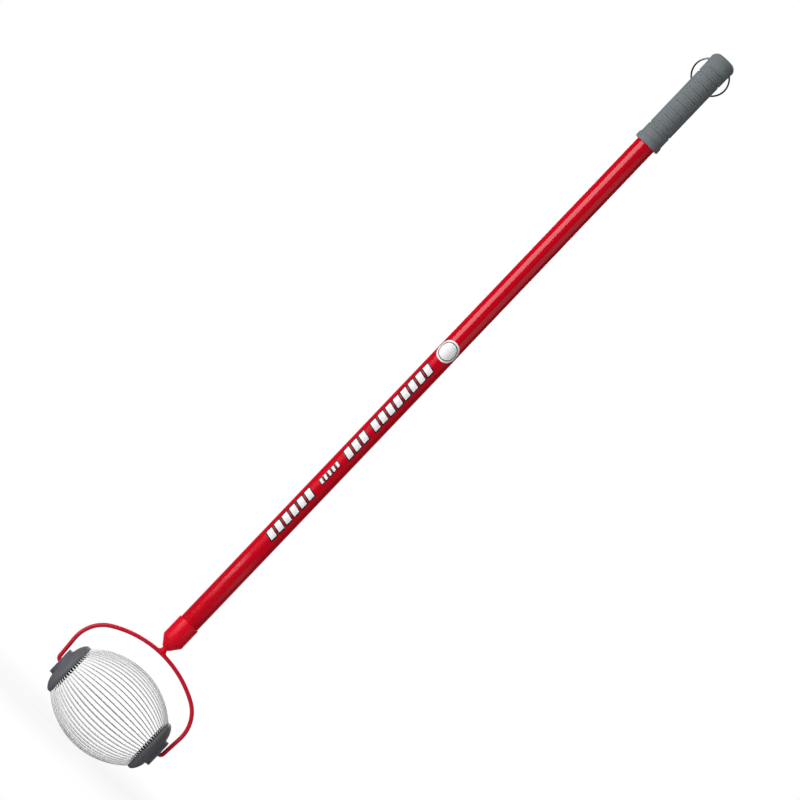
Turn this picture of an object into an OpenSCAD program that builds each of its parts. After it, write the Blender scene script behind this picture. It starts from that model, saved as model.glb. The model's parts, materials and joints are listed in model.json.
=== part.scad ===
// Rolling nut gatherer: a barrel of bowed spring wires that turns on a wire bail
// at the foot of a long tube handle with a moulded grip and a hanging ring.
//
// Frame: +Z runs up the handle, +X along the axle of the basket, and the origin
// is on the ground under the handle. All lengths are in millimetres.

/* [Basket] */
// Diameter of the basket across its middle, over the wires
basket_d = 140; // [120:1:160]
// Length of the basket over the faces of its two end bosses
basket_len = 188; // [170:1:210]
// Number of bowed wires round the basket
wire_count = 60; // [48:4:64]
// Diameter of a basket wire
wire_d = 1.6; // [1.2:0.1:1.8]
// Radius at which a wire turns inwards, at the middle of the wire
wire_bend_r = 4; // [3:0.5:6]
// How far inside the rim of the comb a wire has finished its turn
wire_turn_in = 2.5; // [1.5:0.5:4]
// How far a wire runs in under the clamp plate
wire_under_plate = 2.2; // [1.5:0.1:3]
// Free space round a wire in its slot
wire_play = 0.1; // [0.05:0.05:0.2]

/* [End caps] */
// Diameter of an end cap at its rim
cap_d = 82; // [76:1:90]
// Height of the dome of an end cap, from rim to crown
cap_h = 12.4; // [10:0.2:16]
// Straight height of the rim below the dome
cap_rim_h = 1.9; // [1:0.1:4]
// Wall of an end cap
cap_wall = 2.2; // [1.6:0.1:3]
// Diameter of the boss in the middle of an end cap
boss_d = 41.5; // [38:0.5:46]
// Height of the boss above the crown of the dome
boss_h = 6; // [4:0.5:8]
// Width of the raised rim round the face of the boss
boss_rim_w = 2.2; // [1.8:0.1:2.6]
// Depth of the face of the boss below its rim
boss_dish = 0.6; // [0.3:0.1:1]
// Rounding of the outer edge of the boss
boss_edge_r = 1.6; // [0.8:0.1:2.5]
// Fillet between the boss and the dome
boss_fillet_r = 1.6; // [0.8:0.1:2.5]
// Diameter of the hub inside an end cap
hub_d = 34; // [32:0.5:38]
// Width of the mouth that clears the bend of the axle pin
pin_mouth_d = 9; // [8:0.2:10]
// Depth of that mouth
pin_mouth_h = 3; // [2:0.2:5]
// Running clearance round the axle pin
pin_play = 0.3; // [0.2:0.05:0.4]

/* [Combs and clamp plates] */
// Height of the comb teeth above the floor of the slots, at the rim
tooth_h = 4.6; // [3.5:0.1:6]
// Drop of the teeth from the rim to the edge of the clamp plate
tooth_drop = 1.6; // [0.5:0.1:2.5]
// Rounding of the outer corner of the teeth
tooth_round_r = 1.2; // [0.5:0.1:2]
// Step between the rim of the cap and the rim of the comb
comb_step = 0.6; // [0.3:0.1:1.5]
// Thickness of the comb flange that lies on the rim of the cap
comb_flange_t = 1.2; // [0.8:0.1:2]
// Depth of the comb spigot inside the cap
comb_spigot_h = 2; // [1:0.1:3]
// Clearance of a piece that is set into another
seat_play = 0.15; // [0.05:0.05:0.3]
// Diameter of the round clamp plate
plate_d = 56; // [52:0.5:60]
// Thickness of the clamp plate
plate_t = 1; // [0.8:0.1:1.5]
// Diameter of the hole in the middle of the plate and the comb
plate_hole_d = 9; // [8:0.2:10]

/* [Rivets] */
// Number of hollow rivets in each end cap
rivet_count = 3; // [3:1:4]
// Diameter of the circle that the rivets stand on
rivet_circle_d = 22; // [20:0.5:23]
// Diameter of the rivet shank
rivet_d = 5; // [4:0.1:5.4]
// Bore of the hollow rivet
rivet_bore_d = 3.6; // [2.6:0.1:3.8]
// Diameter of the rivet head
rivet_head_d = 8; // [7.2:0.1:8.6]
// Thickness of the rivet head
rivet_head_t = 1.1; // [0.8:0.1:1.5]
// Width of the shallow recess round the rivet head
rivet_recess_d = 10; // [9.4:0.1:10.4]
// Depth of that recess
rivet_recess_h = 0.8; // [0.5:0.1:1]
// Thickness of the rolled end of the rivet
rivet_roll_t = 1.3; // [1:0.1:1.6]

/* [Bail] */
// Diameter of the bail rod
rod_d = 6; // [5:0.1:6.6]
// Room between the basket and the middle of the rod above it
bail_room = 33; // [26:1:45]
// Room between a boss face and the middle of the rod at its widest
bail_side_room = 6.3; // [5.8:0.1:10]
// Radius of the crown of the bail
crown_r = 150; // [140:1:160]
// Angle of the crown to each side of the handle
crown_angle = 30; // [26:1:32]
// Lean of the arms towards the basket
arm_lean = 4; // [2:0.5:4.5]
// Radius at which an arm turns into its axle pin, at the middle of the rod
pin_bend_r = 5; // [4:0.2:5.4]
// Length of the axle pin inside the end cap
pin_depth = 15.4; // [10:0.2:16]
// Chamfer on the end of the axle pin
pin_chamfer = 0.8; // [0.4:0.1:1.5]

/* [Socket] */
// Length of the straight part of the socket
socket_len = 33.5; // [28:0.5:45]
// Wall of the socket
socket_wall = 1.5; // [1.2:0.1:2.5]
// Height of the cone below the straight part
cone_h = 14; // [12:0.5:18]
// Diameter of the small end of the cone
cone_end_d = 11.8; // [11.2:0.1:13]
// Rounding between the straight part and the cone
cone_top_r = 2.5; // [1:0.1:4]
// Rounding of the small end of the cone
cone_end_r = 0.8; // [0.4:0.1:1]
// Height of the neck, from the middle of the rod
neck_h = 9; // [8:0.5:12]
// Diameter of the neck
neck_d = 9; // [8:0.1:10]
// Edge of the neck beside the rod, under its chamfer
neck_edge = 0.6; // [0.4:0.1:0.8]
// Length of the welded foot along the rod
foot_len = 17; // [14:0.5:19]
// Width of the welded foot across the rod
foot_w = 4.6; // [4:0.1:4.8]
// How far the end of the tube stops short of the cone
tube_stop = 2; // [1:0.5:5]
// Rounding of the rim of the socket
socket_rim_r = 0.6; // [0.3:0.1:0.7]

/* [Handle and grip] */
// Length of the whole tool, from the ground to the end of the grip
tool_len = 1300; // [1100:10:1500]
// Outer diameter of the handle tube
tube_d = 30; // [28:0.5:32]
// Wall of the handle tube
tube_wall = 1.2; // [0.8:0.1:2]
// Length of the grip
grip_len = 161; // [140:1:180]
// Diameter of the grip in the hand
grip_d = 36.2; // [35:0.2:38]
// Diameter of the collar at the lower end of the grip
grip_collar_d = 39; // [37:0.2:41]
// Height of that collar
grip_collar_h = 8; // [6:0.5:12]
// Slope above the collar
grip_collar_slope = 3; // [1:0.5:4]
// Diameter of the head at the upper end of the grip
grip_head_d = 39.2; // [38:0.2:41]
// Height of that head
grip_head_h = 16; // [14:0.5:17]
// Slope under the head
grip_head_slope = 2.5; // [1:0.5:4]
// Diameter of the grip under the head
grip_neck_d = 37.2; // [36:0.2:38]
// Length of the taper from the head down to the hand
grip_taper_len = 44; // [30:1:60]
// Rounding of the end of the grip
grip_end_r = 11; // [8:0.5:12]
// Thickness of the closed end of the grip
grip_end_t = 4.5; // [3.5:0.5:6]
// Number of grooves across the front and the back of the grip
groove_count = 10; // [6:1:10]
// Distance from the lower end of the grip to its first groove
groove_start = 22.2; // [18:0.2:24]
// Distance from the upper end of the grip to its last groove
groove_end = 23.6; // [22:0.2:28]
// Length of a groove across the grip
groove_len = 26; // [20:0.5:30]
// Width of a groove
groove_w = 1.6; // [1:0.1:2]
// Depth of a groove
groove_depth = 0.6; // [0.3:0.1:0.9]
// Distance from the lower end of the grip to its lower notch
notch_start = 27.6; // [26:0.2:30]
// Width of a notch round the grip
notch_w = 2.2; // [2:0.1:3]
// Depth of a notch
notch_depth = 1.1; // [1:0.1:1.4]
// Free space between the tube and the pieces that fit on it
tube_play = 0.1; // [0.05:0.05:0.2]

/* [Hanging ring] */
// Diameter of the hanging ring, at the middle of its wire
ring_d = 54; // [53:0.2:57]
// Diameter of the ring wire
ring_wire_d = 2.5; // [2:0.1:3]
// Distance from the end of the grip to the ring hole
ring_hole_drop = 13.6; // [13:0.2:18]
// Diameter of the ring hole
ring_hole_d = 9; // [8.8:0.2:10]
// Gap between the hanging ring and the grip at rest
ring_gap = 0.35; // [0.3:0.05:0.6]

/* [Hidden] */
$fn = 64;

// Overrun of every cut past the face that it opens
over = 1;
// A stretch of bar is thinner than the bend it runs into, and laps into it
bar_step = 0.02;
bar_lap = 0.1;
// Sides of a drawn bar
bar_sides = 24;
// Steps in a rounded corner and in the long curves of an outline
corner_steps = 6;
curve_steps = 14;
// Number of nodes that share the basket wires
wire_groups = 10;
// Fullness of the dome: 2 is an ellipse, and less is flatter between rim and crown
dome_power_share = 1.5;
// How far out through the wall the hanging ring passes the middle of its hole
ring_wall_share = 0.6;

// The two ends of the basket
LEFT = -1;
RIGHT = 1;

// Basket, measured along the axle from the middle and outwards from the axle
wire_pitch = 360 / wire_count;
wire_mid_r = basket_d / 2 - wire_d / 2;
boss_face = basket_len / 2;
boss_floor = boss_face - boss_dish;
cap_crown = boss_face - boss_h;
cap_rim = cap_crown - cap_h;
slot_floor = cap_rim - comb_flange_t;
wire_end_at = slot_floor - wire_play - wire_d / 2;
plate_seat = wire_end_at - wire_d / 2 - wire_play;
plate_face = plate_seat - plate_t;
tooth_top = slot_floor - tooth_h;
comb_back = cap_rim + comb_spigot_h;
comb_r = cap_d / 2 - comb_step;
comb_inner_r = plate_d / 2 + seat_play;
slot_w = wire_d + 2 * wire_play;
wire_inner_r = plate_d / 2 - wire_under_plate;

// A wire is one arc that passes over the middle and meets its end bends smoothly
wire_turn_r = comb_r - wire_turn_in;
bow_along = wire_end_at - wire_bend_r;
bow_drop = wire_mid_r - wire_turn_r - wire_bend_r;
bow_r = (bow_along ^ 2 + bow_drop ^ 2) / (2 * bow_drop) + wire_bend_r;
bow_angle = asin(bow_along / (bow_r - wire_bend_r));

// Heights above the ground: the two lowest wires lie on it
axle_z = wire_mid_r * cos(wire_pitch / 2) + wire_d / 2;
bail_rise = basket_d / 2 + bail_room;
bail_top = axle_z + bail_rise;
neck_top = bail_top + neck_h;
cone_top = neck_top + cone_h;
socket_rim = cone_top + socket_len;
tube_foot = cone_top + tube_stop;
grip_foot = tool_len - grip_len;
tube_top = tool_len - grip_end_t;
ring_hole_z = tool_len - ring_hole_drop;

// Grip: the upper notch runs through the last groove but one
head_foot = tool_len - grip_head_h;
neck_z = head_foot - grip_head_slope;
groove_pitch = (grip_len - groove_start - groove_end) / (groove_count - 1);
notch_heights = [grip_foot + notch_start, groove_z(groove_count - 2)];

// Bail, in the plane of the axle and the handle
bail_half_w = boss_face + bail_side_room;
crown_half_w = crown_r * sin(crown_angle);
corner_r = (bail_half_w - crown_half_w) / (1 - sin(crown_angle));
corner_x = bail_half_w - corner_r;
corner_z = bail_top - crown_r + (crown_r - corner_r) * cos(crown_angle);
arm_top_x = corner_x + corner_r * cos(arm_lean);
arm_top_z = corner_z - corner_r * sin(arm_lean);
arm_foot_z = axle_z + pin_bend_r * (1 - sin(arm_lean));
arm_len = (arm_top_z - arm_foot_z) / cos(arm_lean);
arm_foot_x = arm_top_x - arm_len * sin(arm_lean);
pin_start = arm_foot_x - pin_bend_r * cos(arm_lean);
pin_end = boss_face - pin_depth;

// Hanging ring: it runs through the hole on a chord and leans on the back of the grip
ring_r = ring_d / 2;
tube_bore_r = tube_d / 2 - tube_wall;
ring_wall_r = tube_bore_r + ring_wall_share * (grip_head_d / 2 - tube_bore_r);
ring_drop = sqrt(ring_r ^ 2 - ring_wall_r ^ 2);
ring_lean = asin((grip_d / 2 + ring_wire_d / 2 + ring_gap) / (ring_drop + ring_r));

// Points on a circular arc
function arc_points(centre, radius, from, to, steps = corner_steps) = [
    for (step = [0 : steps])
        let (angle = from + (to - from) * step / steps)
        centre + radius * [cos(angle), sin(angle)]
];

// Points on the dome of a cap, from crown to rim, drawn in by a wall
function dome_points(wall) = let (
    inner_r = boss_d / 2 + boss_fillet_r,
    spread = cap_d / 2 - wall - inner_r,
    foot = cap_rim + cap_rim_h,
    rise = cap_crown - wall - foot,
    power = 2 / dome_power_share
) [
    for (step = [0 : curve_steps])
        let (angle = 90 * step / curve_steps)
        [inner_r + spread * sin(angle) ^ power, foot + rise * cos(angle) ^ power]
];

// Height of the middle of a groove of the grip, counted from its lower end
function groove_z(index) = grip_foot + groove_start + index * groove_pitch;

// Radius of the grip at a height between its collar and its head
function grip_r(height) = lookup(height, [
    [neck_z - grip_taper_len, grip_d / 2],
    [neck_z, grip_neck_d / 2]
]);

// A list in reverse order
function reversed(list) = [for (i = [len(list) - 1 : -1 : 0]) list[i]];

// Angle of a wire round the axle, with a gap straight up, down, forward and back
function wire_angle(index) = (index + 0.5) * wire_pitch;

// Turns a shape that was revolved about Z so that Z points out along the axle
module on_axle(side) {
    translate([0, 0, axle_z])
        rotate([0, 90 * side, 0])
            children();
}

// Places its children at each rivet
module at_rivets() {
    for (index = [0 : rivet_count - 1])
        rotate(index * 360 / rivet_count)
            translate([rivet_circle_d / 2, 0, 0])
                children();
}

// Tight bend of a round bar, about Z from angle zero
module bend(diameter, radius, angle) {
    rotate_extrude(angle = angle)
        translate([radius, 0])
            circle(d = diameter, $fn = bar_sides);
}

// Long bow of a round bar, centred on the Y axis, that laps into a bend at each end
module bow(diameter, radius, half_angle) {
    lap_angle = bar_lap / radius * 180 / PI;
    rotate(90 - half_angle - lap_angle)
        bend(diameter - 2 * bar_step, radius, 2 * (half_angle + lap_angle));
}

// Straight stretch of a round bar up from the origin, that laps into what it leaves
module stretch(diameter, length, end_lap = bar_lap, end_chamfer = 0) {
    radius = diameter / 2 - bar_step;
    rotate_extrude($fn = bar_sides)
        polygon([
            [0, -bar_lap],
            [radius, -bar_lap],
            [radius, length + end_lap - end_chamfer],
            [radius - end_chamfer, length + end_lap],
            [0, length + end_lap]
        ]);
}

// Steel handle tube, drilled across for the hanging ring
module handle_tube() {
    color("firebrick")
        difference() {
            translate([0, 0, tube_foot])
                cylinder(d = tube_d, h = tube_top - tube_foot);
            translate([0, 0, tube_foot - over])
                cylinder(d = tube_d - 2 * tube_wall, h = tube_top - tube_foot + 2 * over);
            ring_hole();
        }
}

// Hole across the end of the handle that the ring runs through
module ring_hole() {
    translate([-grip_head_d / 2 - over, 0, ring_hole_z])
        rotate([0, 90, 0])
            cylinder(d = ring_hole_d, h = grip_head_d + 2 * over);
}

// Outline of a notch that runs round the grip
module notch_outline(height) {
    translate([grip_r(height) - notch_depth, height - notch_w / 2])
        square([grip_head_d, notch_w]);
}

// Outline of the outside of the grip, from the axis
module grip_outline() {
    bore_r = tube_d / 2 + tube_play;
    collar_r = grip_collar_d / 2;
    head_r = grip_head_d / 2;
    collar_top = grip_foot + grip_collar_h;
    end_corner = [head_r - grip_end_r, tool_len - grip_end_r];
    polygon(concat(
        [
            [bore_r, grip_foot],
            [collar_r, grip_foot],
            [collar_r, collar_top],
            [grip_d / 2, collar_top + grip_collar_slope],
            [grip_d / 2, neck_z - grip_taper_len],
            [grip_neck_d / 2, neck_z],
            [head_r, head_foot]
        ],
        arc_points(end_corner, grip_end_r, 0, 90),
        [
            [0, tool_len],
            [0, tube_top],
            [bore_r, tube_top]
        ]
    ));
}

// Groove across the front and the back of the grip
module groove(index) {
    height = groove_z(index);
    translate([0, 0, height - groove_w / 2])
        difference() {
            translate([-groove_len / 2, -grip_head_d / 2, 0])
                cube([groove_len, grip_head_d, groove_w]);
            translate([0, 0, -over])
                cylinder(r = grip_r(height) - groove_depth, h = groove_w + 2 * over);
        }
}

// Moulded grip with a closed end
module grip() {
    color("slategray")
        difference() {
            rotate_extrude()
                difference() {
                    grip_outline();
                    for (height = notch_heights)
                        notch_outline(height);
                }
            for (index = [0 : groove_count - 1])
                groove(index);
            ring_hole();
        }
}

// Outline of the socket: straight sleeve, cone and neck
module socket_outline() {
    bore_r = tube_d / 2 + tube_play;
    outer_r = bore_r + socket_wall;
    neck_r = neck_d / 2;
    edge_r = rod_d / 2 + neck_edge;
    slope = atan((outer_r - cone_end_d / 2) / cone_h);
    end_corner = [cone_end_d / 2 - cone_end_r * tan(45 - slope / 2), neck_top + cone_end_r];
    top_corner = [outer_r - cone_top_r, cone_top + cone_top_r * tan(slope / 2)];
    rim_corner = [outer_r - socket_rim_r, socket_rim - socket_rim_r];
    polygon(concat(
        [
            [0, bail_top],
            [edge_r, bail_top],
            [neck_r, bail_top + neck_r - edge_r],
            [neck_r, neck_top]
        ],
        arc_points(end_corner, cone_end_r, -90, -slope),
        arc_points(top_corner, cone_top_r, -slope, 0),
        arc_points(rim_corner, socket_rim_r, 0, 90),
        [
            [bore_r, socket_rim],
            [bore_r, tube_foot],
            [0, tube_foot]
        ]
    ));
}

// Welded foot that flares from the neck along the rod
module socket_foot() {
    half_len = foot_len / 2;
    flare_r = half_len - neck_d / 2;
    foot_top = bail_top + rod_d / 2;
    rotate([90, 0, 0])
        linear_extrude(foot_w, center = true)
            polygon(concat(
                [[-half_len, bail_top], [half_len, bail_top]],
                reversed(arc_points([half_len, foot_top + flare_r], flare_r, 180, 270)),
                arc_points([-half_len, foot_top + flare_r], flare_r, 360, 270)
            ));
}

// Socket that holds the tube, welded on the bail rod
module socket() {
    color("red")
        difference() {
            union() {
                rotate_extrude()
                    socket_outline();
                socket_foot();
            }
            bail_crown();
        }
}

// Crown arc of the bail
module bail_crown() {
    translate([0, 0, bail_top - crown_r])
        rotate([90, 0, 0])
            bow(rod_d, crown_r, crown_angle);
}

// Right half of the bail below its crown: corner, arm, bend and axle pin
module bail_arm() {
    translate([corner_x, 0, corner_z])
        rotate([90, 0, 0])
            rotate(-arm_lean)
                bend(rod_d, corner_r, 90 - crown_angle + arm_lean);
    translate([arm_top_x, 0, arm_top_z])
        rotate([0, 180 + arm_lean, 0])
            stretch(rod_d, arm_len);
    translate([pin_start, 0, axle_z + pin_bend_r])
        rotate([90, 0, 0])
            rotate(-90)
                bend(rod_d, pin_bend_r, 90 - arm_lean);
    translate([pin_start, 0, axle_z])
        rotate([0, -90, 0])
            stretch(rod_d, pin_start - pin_end, end_lap = 0, end_chamfer = pin_chamfer);
}

// Bail: one bent rod that carries the basket on its two ends
module bail() {
    color("crimson") {
        bail_crown();
        bail_arm();
        mirror([1, 0, 0])
            bail_arm();
    }
}

// Hanging ring, resting against the back of the grip
module hang_ring() {
    color("silver")
        translate([0, 0, ring_hole_z])
            rotate([ring_lean, 0, 0])
                translate([0, 0, -ring_drop])
                    rotate([90, 0, 0])
                        bend(ring_wire_d, ring_r, 360);
}

// Outline of an end cap: boss, dome, rim and inner hub, outside the pin bore
module cap_outline() {
    bore_r = rod_d / 2 + pin_play;
    boss_r = boss_d / 2;
    dish_r = boss_r - boss_rim_w;
    edge_corner = [boss_r - boss_edge_r, boss_face - boss_edge_r];
    fillet_centre = [boss_r + boss_fillet_r, cap_crown + boss_fillet_r];
    polygon(concat(
        [
            [bore_r, comb_back],
            [bore_r, boss_floor - pin_mouth_h],
            [pin_mouth_d / 2, boss_floor],
            [dish_r - boss_dish, boss_floor],
            [dish_r, boss_face]
        ],
        reversed(arc_points(edge_corner, boss_edge_r, 0, 90)),
        arc_points(fillet_centre, boss_fillet_r, 180, 270),
        [for (step = [1 : curve_steps]) dome_points(0)[step]],
        [
            [cap_d / 2, cap_rim],
            [cap_d / 2 - cap_wall, cap_rim]
        ],
        reversed(dome_points(cap_wall)),
        [
            [hub_d / 2, cap_crown - cap_wall],
            [hub_d / 2, comb_back]
        ]
    ));
}

// Moulded end cap
module cap(side) {
    color("dimgray")
        on_axle(side)
            difference() {
                rotate_extrude()
                    cap_outline();
                at_rivets() {
                    translate([0, 0, comb_back - over])
                        cylinder(d = rivet_d + 2 * seat_play, h = boss_face - comb_back + 2 * over);
                    translate([0, 0, boss_floor - rivet_recess_h])
                        cylinder(d = rivet_recess_d, h = rivet_recess_h + over);
                }
            }
}

// Outline of a comb before its slots are cut
module comb_outline() {
    spigot_r = cap_d / 2 - cap_wall - seat_play;
    tooth_corner = [comb_r - tooth_round_r, tooth_top + tooth_round_r];
    polygon(concat(
        [
            [plate_hole_d / 2, comb_back],
            [plate_hole_d / 2, plate_seat],
            [comb_inner_r, plate_seat],
            [comb_inner_r, tooth_top + tooth_drop]
        ],
        arc_points(tooth_corner, tooth_round_r, 270, 360),
        [
            [comb_r, cap_rim],
            [spigot_r, cap_rim],
            [spigot_r, comb_back]
        ]
    ));
}

// Slots of a comb, one for each wire
module comb_slots(side) {
    slot_depth = slot_floor - tooth_top + over;
    middle = side * (slot_floor - slot_depth / 2);
    slot_inner_r = wire_inner_r - wire_play;
    slot_len = comb_r + over - slot_inner_r;
    translate([0, 0, axle_z])
        for (index = [0 : wire_count - 1])
            rotate([wire_angle(index), 0, 0])
                translate([middle, slot_inner_r + slot_len / 2, 0])
                    cube([slot_depth, slot_len, slot_w], center = true);
}

// Moulded comb that spaces the wires round the rim of a cap
module comb(side) {
    color("black")
        difference() {
            on_axle(side)
                difference() {
                    rotate_extrude()
                        comb_outline();
                    at_rivets()
                        translate([0, 0, plate_seat - over])
                            cylinder(d = rivet_d + 2 * seat_play, h = comb_back - plate_seat + 2 * over);
                }
            comb_slots(side);
        }
}

// Round plate that clamps the ends of the wires into the comb
module plate(side) {
    color("gainsboro")
        on_axle(side)
            translate([0, 0, plate_face])
                difference() {
                    cylinder(d = plate_d, h = plate_t);
                    translate([0, 0, -over])
                        cylinder(d = plate_hole_d, h = plate_t + 2 * over);
                    at_rivets()
                        translate([0, 0, -over])
                            cylinder(d = rivet_d + 2 * seat_play, h = plate_t + 2 * over);
                }
}

// Outline of a hollow rivet, with its head on the boss and its rolled end on the plate
module rivet_outline() {
    bore_r = rivet_bore_d / 2;
    shank_r = rivet_d / 2;
    head_r = rivet_head_d / 2;
    head_foot = boss_floor - rivet_recess_h;
    roll_r = rivet_roll_t / 2;
    polygon(concat(
        [
            [bore_r, plate_face - roll_r],
            [bore_r, head_foot + rivet_head_t / 2]
        ],
        arc_points([bore_r + rivet_head_t / 2, head_foot + rivet_head_t / 2], rivet_head_t / 2, 180, 90),
        arc_points([head_r - rivet_head_t / 2, head_foot + rivet_head_t / 2], rivet_head_t / 2, 90, 0),
        [
            [head_r, head_foot],
            [shank_r, head_foot],
            [shank_r, plate_face],
            [shank_r + roll_r, plate_face]
        ],
        arc_points([shank_r + roll_r, plate_face - roll_r], roll_r, 0, -90),
        arc_points([bore_r + roll_r, plate_face - roll_r], roll_r, 270, 180)
    ));
}

// Hollow rivets that hold cap, comb and plate together
module rivets(side) {
    color("lightgray")
        on_axle(side)
            at_rivets()
                rotate_extrude()
                    rivet_outline();
}

// End of a wire: the bend into the comb and the straight tail
module wire_end() {
    translate([wire_end_at - wire_bend_r, wire_turn_r, 0])
        bend(wire_d, wire_bend_r, 90 - bow_angle);
    translate([wire_end_at, wire_turn_r, 0])
        rotate([90, 0, 0])
            stretch(wire_d, wire_turn_r - wire_inner_r, end_lap = 0);
}

// One bowed wire, in the plane of X and Y with the axle along X
module wire() {
    translate([0, wire_mid_r - bow_r, 0])
        bow(wire_d, bow_r, bow_angle);
    wire_end();
    mirror([1, 0, 0])
        wire_end();
}

// One group of neighbouring wires
module wires(group) {
    color("whitesmoke")
        translate([0, 0, axle_z])
            for (index = [0 : wire_count - 1])
                if (floor(index * wire_groups / wire_count) == group - 1)
                    rotate([wire_angle(index), 0, 0])
                        wire();
}

handle_tube();
grip();
socket();
bail();
hang_ring();
cap(LEFT);  // left_cap
cap(RIGHT);  // right_cap
comb(LEFT);  // left_comb
comb(RIGHT);  // right_comb
plate(LEFT);  // left_plate
plate(RIGHT);  // right_plate
rivets(LEFT);  // left_rivets
rivets(RIGHT);  // right_rivets
wires(1);  // wires_1
wires(2);  // wires_2
wires(3);  // wires_3
wires(4);  // wires_4
wires(5);  // wires_5
wires(6);  // wires_6
wires(7);  // wires_7
wires(8);  // wires_8
wires(9);  // wires_9
wires(10);  // wires_10
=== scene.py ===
"""Looks of a rolling nut gatherer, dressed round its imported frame.

Lengths are in metres, in the frame of the part: +Z runs up the handle, +X along the axle of the
basket, the origin is on the ground under the handle, and the front of the tool faces -Y.
"""

import json
import logging
import math
import random
from collections.abc import Callable, Mapping, Sequence
from dataclasses import dataclass, field
from enum import Enum

import bmesh
import bpy
from mathutils import Matrix, Vector


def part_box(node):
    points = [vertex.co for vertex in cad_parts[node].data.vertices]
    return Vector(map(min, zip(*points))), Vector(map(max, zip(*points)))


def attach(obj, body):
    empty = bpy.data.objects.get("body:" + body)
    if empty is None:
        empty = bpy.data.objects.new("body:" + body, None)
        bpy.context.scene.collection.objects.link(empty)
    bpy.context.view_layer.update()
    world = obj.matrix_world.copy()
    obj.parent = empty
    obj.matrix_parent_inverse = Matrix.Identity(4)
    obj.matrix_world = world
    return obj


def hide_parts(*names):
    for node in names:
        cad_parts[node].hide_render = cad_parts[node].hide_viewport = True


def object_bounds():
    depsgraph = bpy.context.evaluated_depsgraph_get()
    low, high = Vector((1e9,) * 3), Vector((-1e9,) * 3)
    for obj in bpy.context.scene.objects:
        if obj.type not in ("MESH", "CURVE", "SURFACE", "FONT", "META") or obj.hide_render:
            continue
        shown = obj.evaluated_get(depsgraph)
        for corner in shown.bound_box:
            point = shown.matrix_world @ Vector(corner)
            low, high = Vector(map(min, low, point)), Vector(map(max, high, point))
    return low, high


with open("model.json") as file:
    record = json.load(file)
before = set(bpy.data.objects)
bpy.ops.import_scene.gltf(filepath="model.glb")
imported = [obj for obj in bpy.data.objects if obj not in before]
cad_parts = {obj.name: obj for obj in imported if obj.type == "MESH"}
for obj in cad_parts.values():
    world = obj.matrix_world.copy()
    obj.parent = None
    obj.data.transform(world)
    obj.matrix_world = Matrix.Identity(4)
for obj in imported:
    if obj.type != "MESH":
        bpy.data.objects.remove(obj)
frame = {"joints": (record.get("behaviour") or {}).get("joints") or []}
CAD_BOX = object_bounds()

LOG = logging.getLogger("nut_gatherer")

# A colour, or a scale along each axis
Colour = tuple[float, float, float]
# What a socket takes: a value, a field or another socket
Setting = object

QUARTER = math.pi / 2
MM_PER_M = 1000
# Sides of drills and rivets, of other turned pieces, and of those that show most
DRILL_SIDES = 48
ROUND_SIDES = 96
SMOOTH_SIDES = 128
# Steps in a quarter turn of a rounded edge, and the fewest that a rounding gets
EDGE_STEPS = 5
LEAST_STEPS = 2
# Edges that turn by more than this stay sharp
SHARP_EDGE = math.radians(38)
# A point closer to the axis than this lies on it
ON_AXIS = 1e-7
# How far a cut runs past the face that it opens
OVERRUN = 0.001
# Bore of the grip and of the socket, and the hole across the handle for the hanging ring
TUBE_BORE_R = 0.0151
RING_HOLE_R = 0.0045
# The handle's own axis, and the normal of the plane that handle and axle lie in
HANDLE_AXIS = Matrix.Identity(4)
BACKWARD = Vector((0.0, 1.0, 0.0))
# White, a noise that isn't drawn out, and a mask that leaves out the way along the axle
WHITE = (1.0, 1.0, 1.0)
EVEN = (1.0, 1.0, 1.0)
ROUND_AXLE = (0.0, 1.0, 1.0)
# Mean of a noise from zero to one
NOISE_MEAN = 0.5
# Places of the colour sockets of a Mix node
MIX_LOW = 6
MIX_HIGH = 7
MIX_RESULT = 2


class Body(Enum):
    """The moving bodies of the tool."""

    HANDLE = "handle"
    BASKET = "basket"
    RING = "hang_ring"


class Joint(Enum):
    """The joints of the frame."""

    SPIN = "basket_spin"
    SWING = "hang_ring_swing"


class Slot(Enum):
    """The material slots of the record."""

    HANDLE_PAINT = "handle_paint"
    SOCKET_PAINT = "socket_paint"
    GRIP_RUBBER = "grip_rubber"
    RING_STEEL = "ring_steel"
    CAP_PLASTIC = "cap_plastic"
    COMB_PLASTIC = "comb_plastic"
    PLATE_ZINC = "plate_zinc"
    RIVET_ZINC = "rivet_zinc"
    WIRE_ZINC = "wire_zinc"


class Side(Enum):
    """The two ends of the basket, along the axle."""

    LEFT = -1
    RIGHT = 1

    @property
    def word(self) -> str:
        """Name of the end, as the nodes spell it."""
        return self.name.lower()


class Ink(Enum):
    """Films of the print, by the tint of their faces."""

    WHITE = 0
    BLACK = 1


class Ray(Enum):
    """Kinds of ray that meet a surface, by their socket."""

    CAMERA = "Is Camera Ray"
    GLOSSY = "Is Glossy Ray"
    TRANSMISSION = "Is Transmission Ray"


@dataclass(frozen=True)
class Corner:
    """Corner of an outline: distance from the axis, height along it, and rounding."""

    out: float
    along: float
    radius: float = 0.0

    @property
    def point(self) -> Vector:
        """The corner as a point of the outline's plane."""
        return Vector((self.out, self.along))


def unit(share: float) -> float:
    """A share, kept between zero and one."""
    return min(max(share, 0.0), 1.0)


def spokes(sides: int) -> list[float]:
    """Angles of a number of sides round an axis."""
    return [math.tau * side / sides for side in range(sides)]


def mirrored(path: Sequence[Vector]) -> list[Vector]:
    """A path of a plane, turned over to the other side of its upright axis and run backwards."""
    return [Vector((-point.x, point.y)) for point in reversed(path)]


def upright(point: Vector, depth: float = 0.0) -> Vector:
    """A point of the plane of axle and handle, moved back by a depth."""
    return Vector((point.x, depth, point.y))


def joint_place(joint: Joint) -> Vector:
    """Place of a joint of the frame."""
    return Vector(next(entry["pos_m"] for entry in frame["joints"] if entry["name"] == joint.value))


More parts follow.
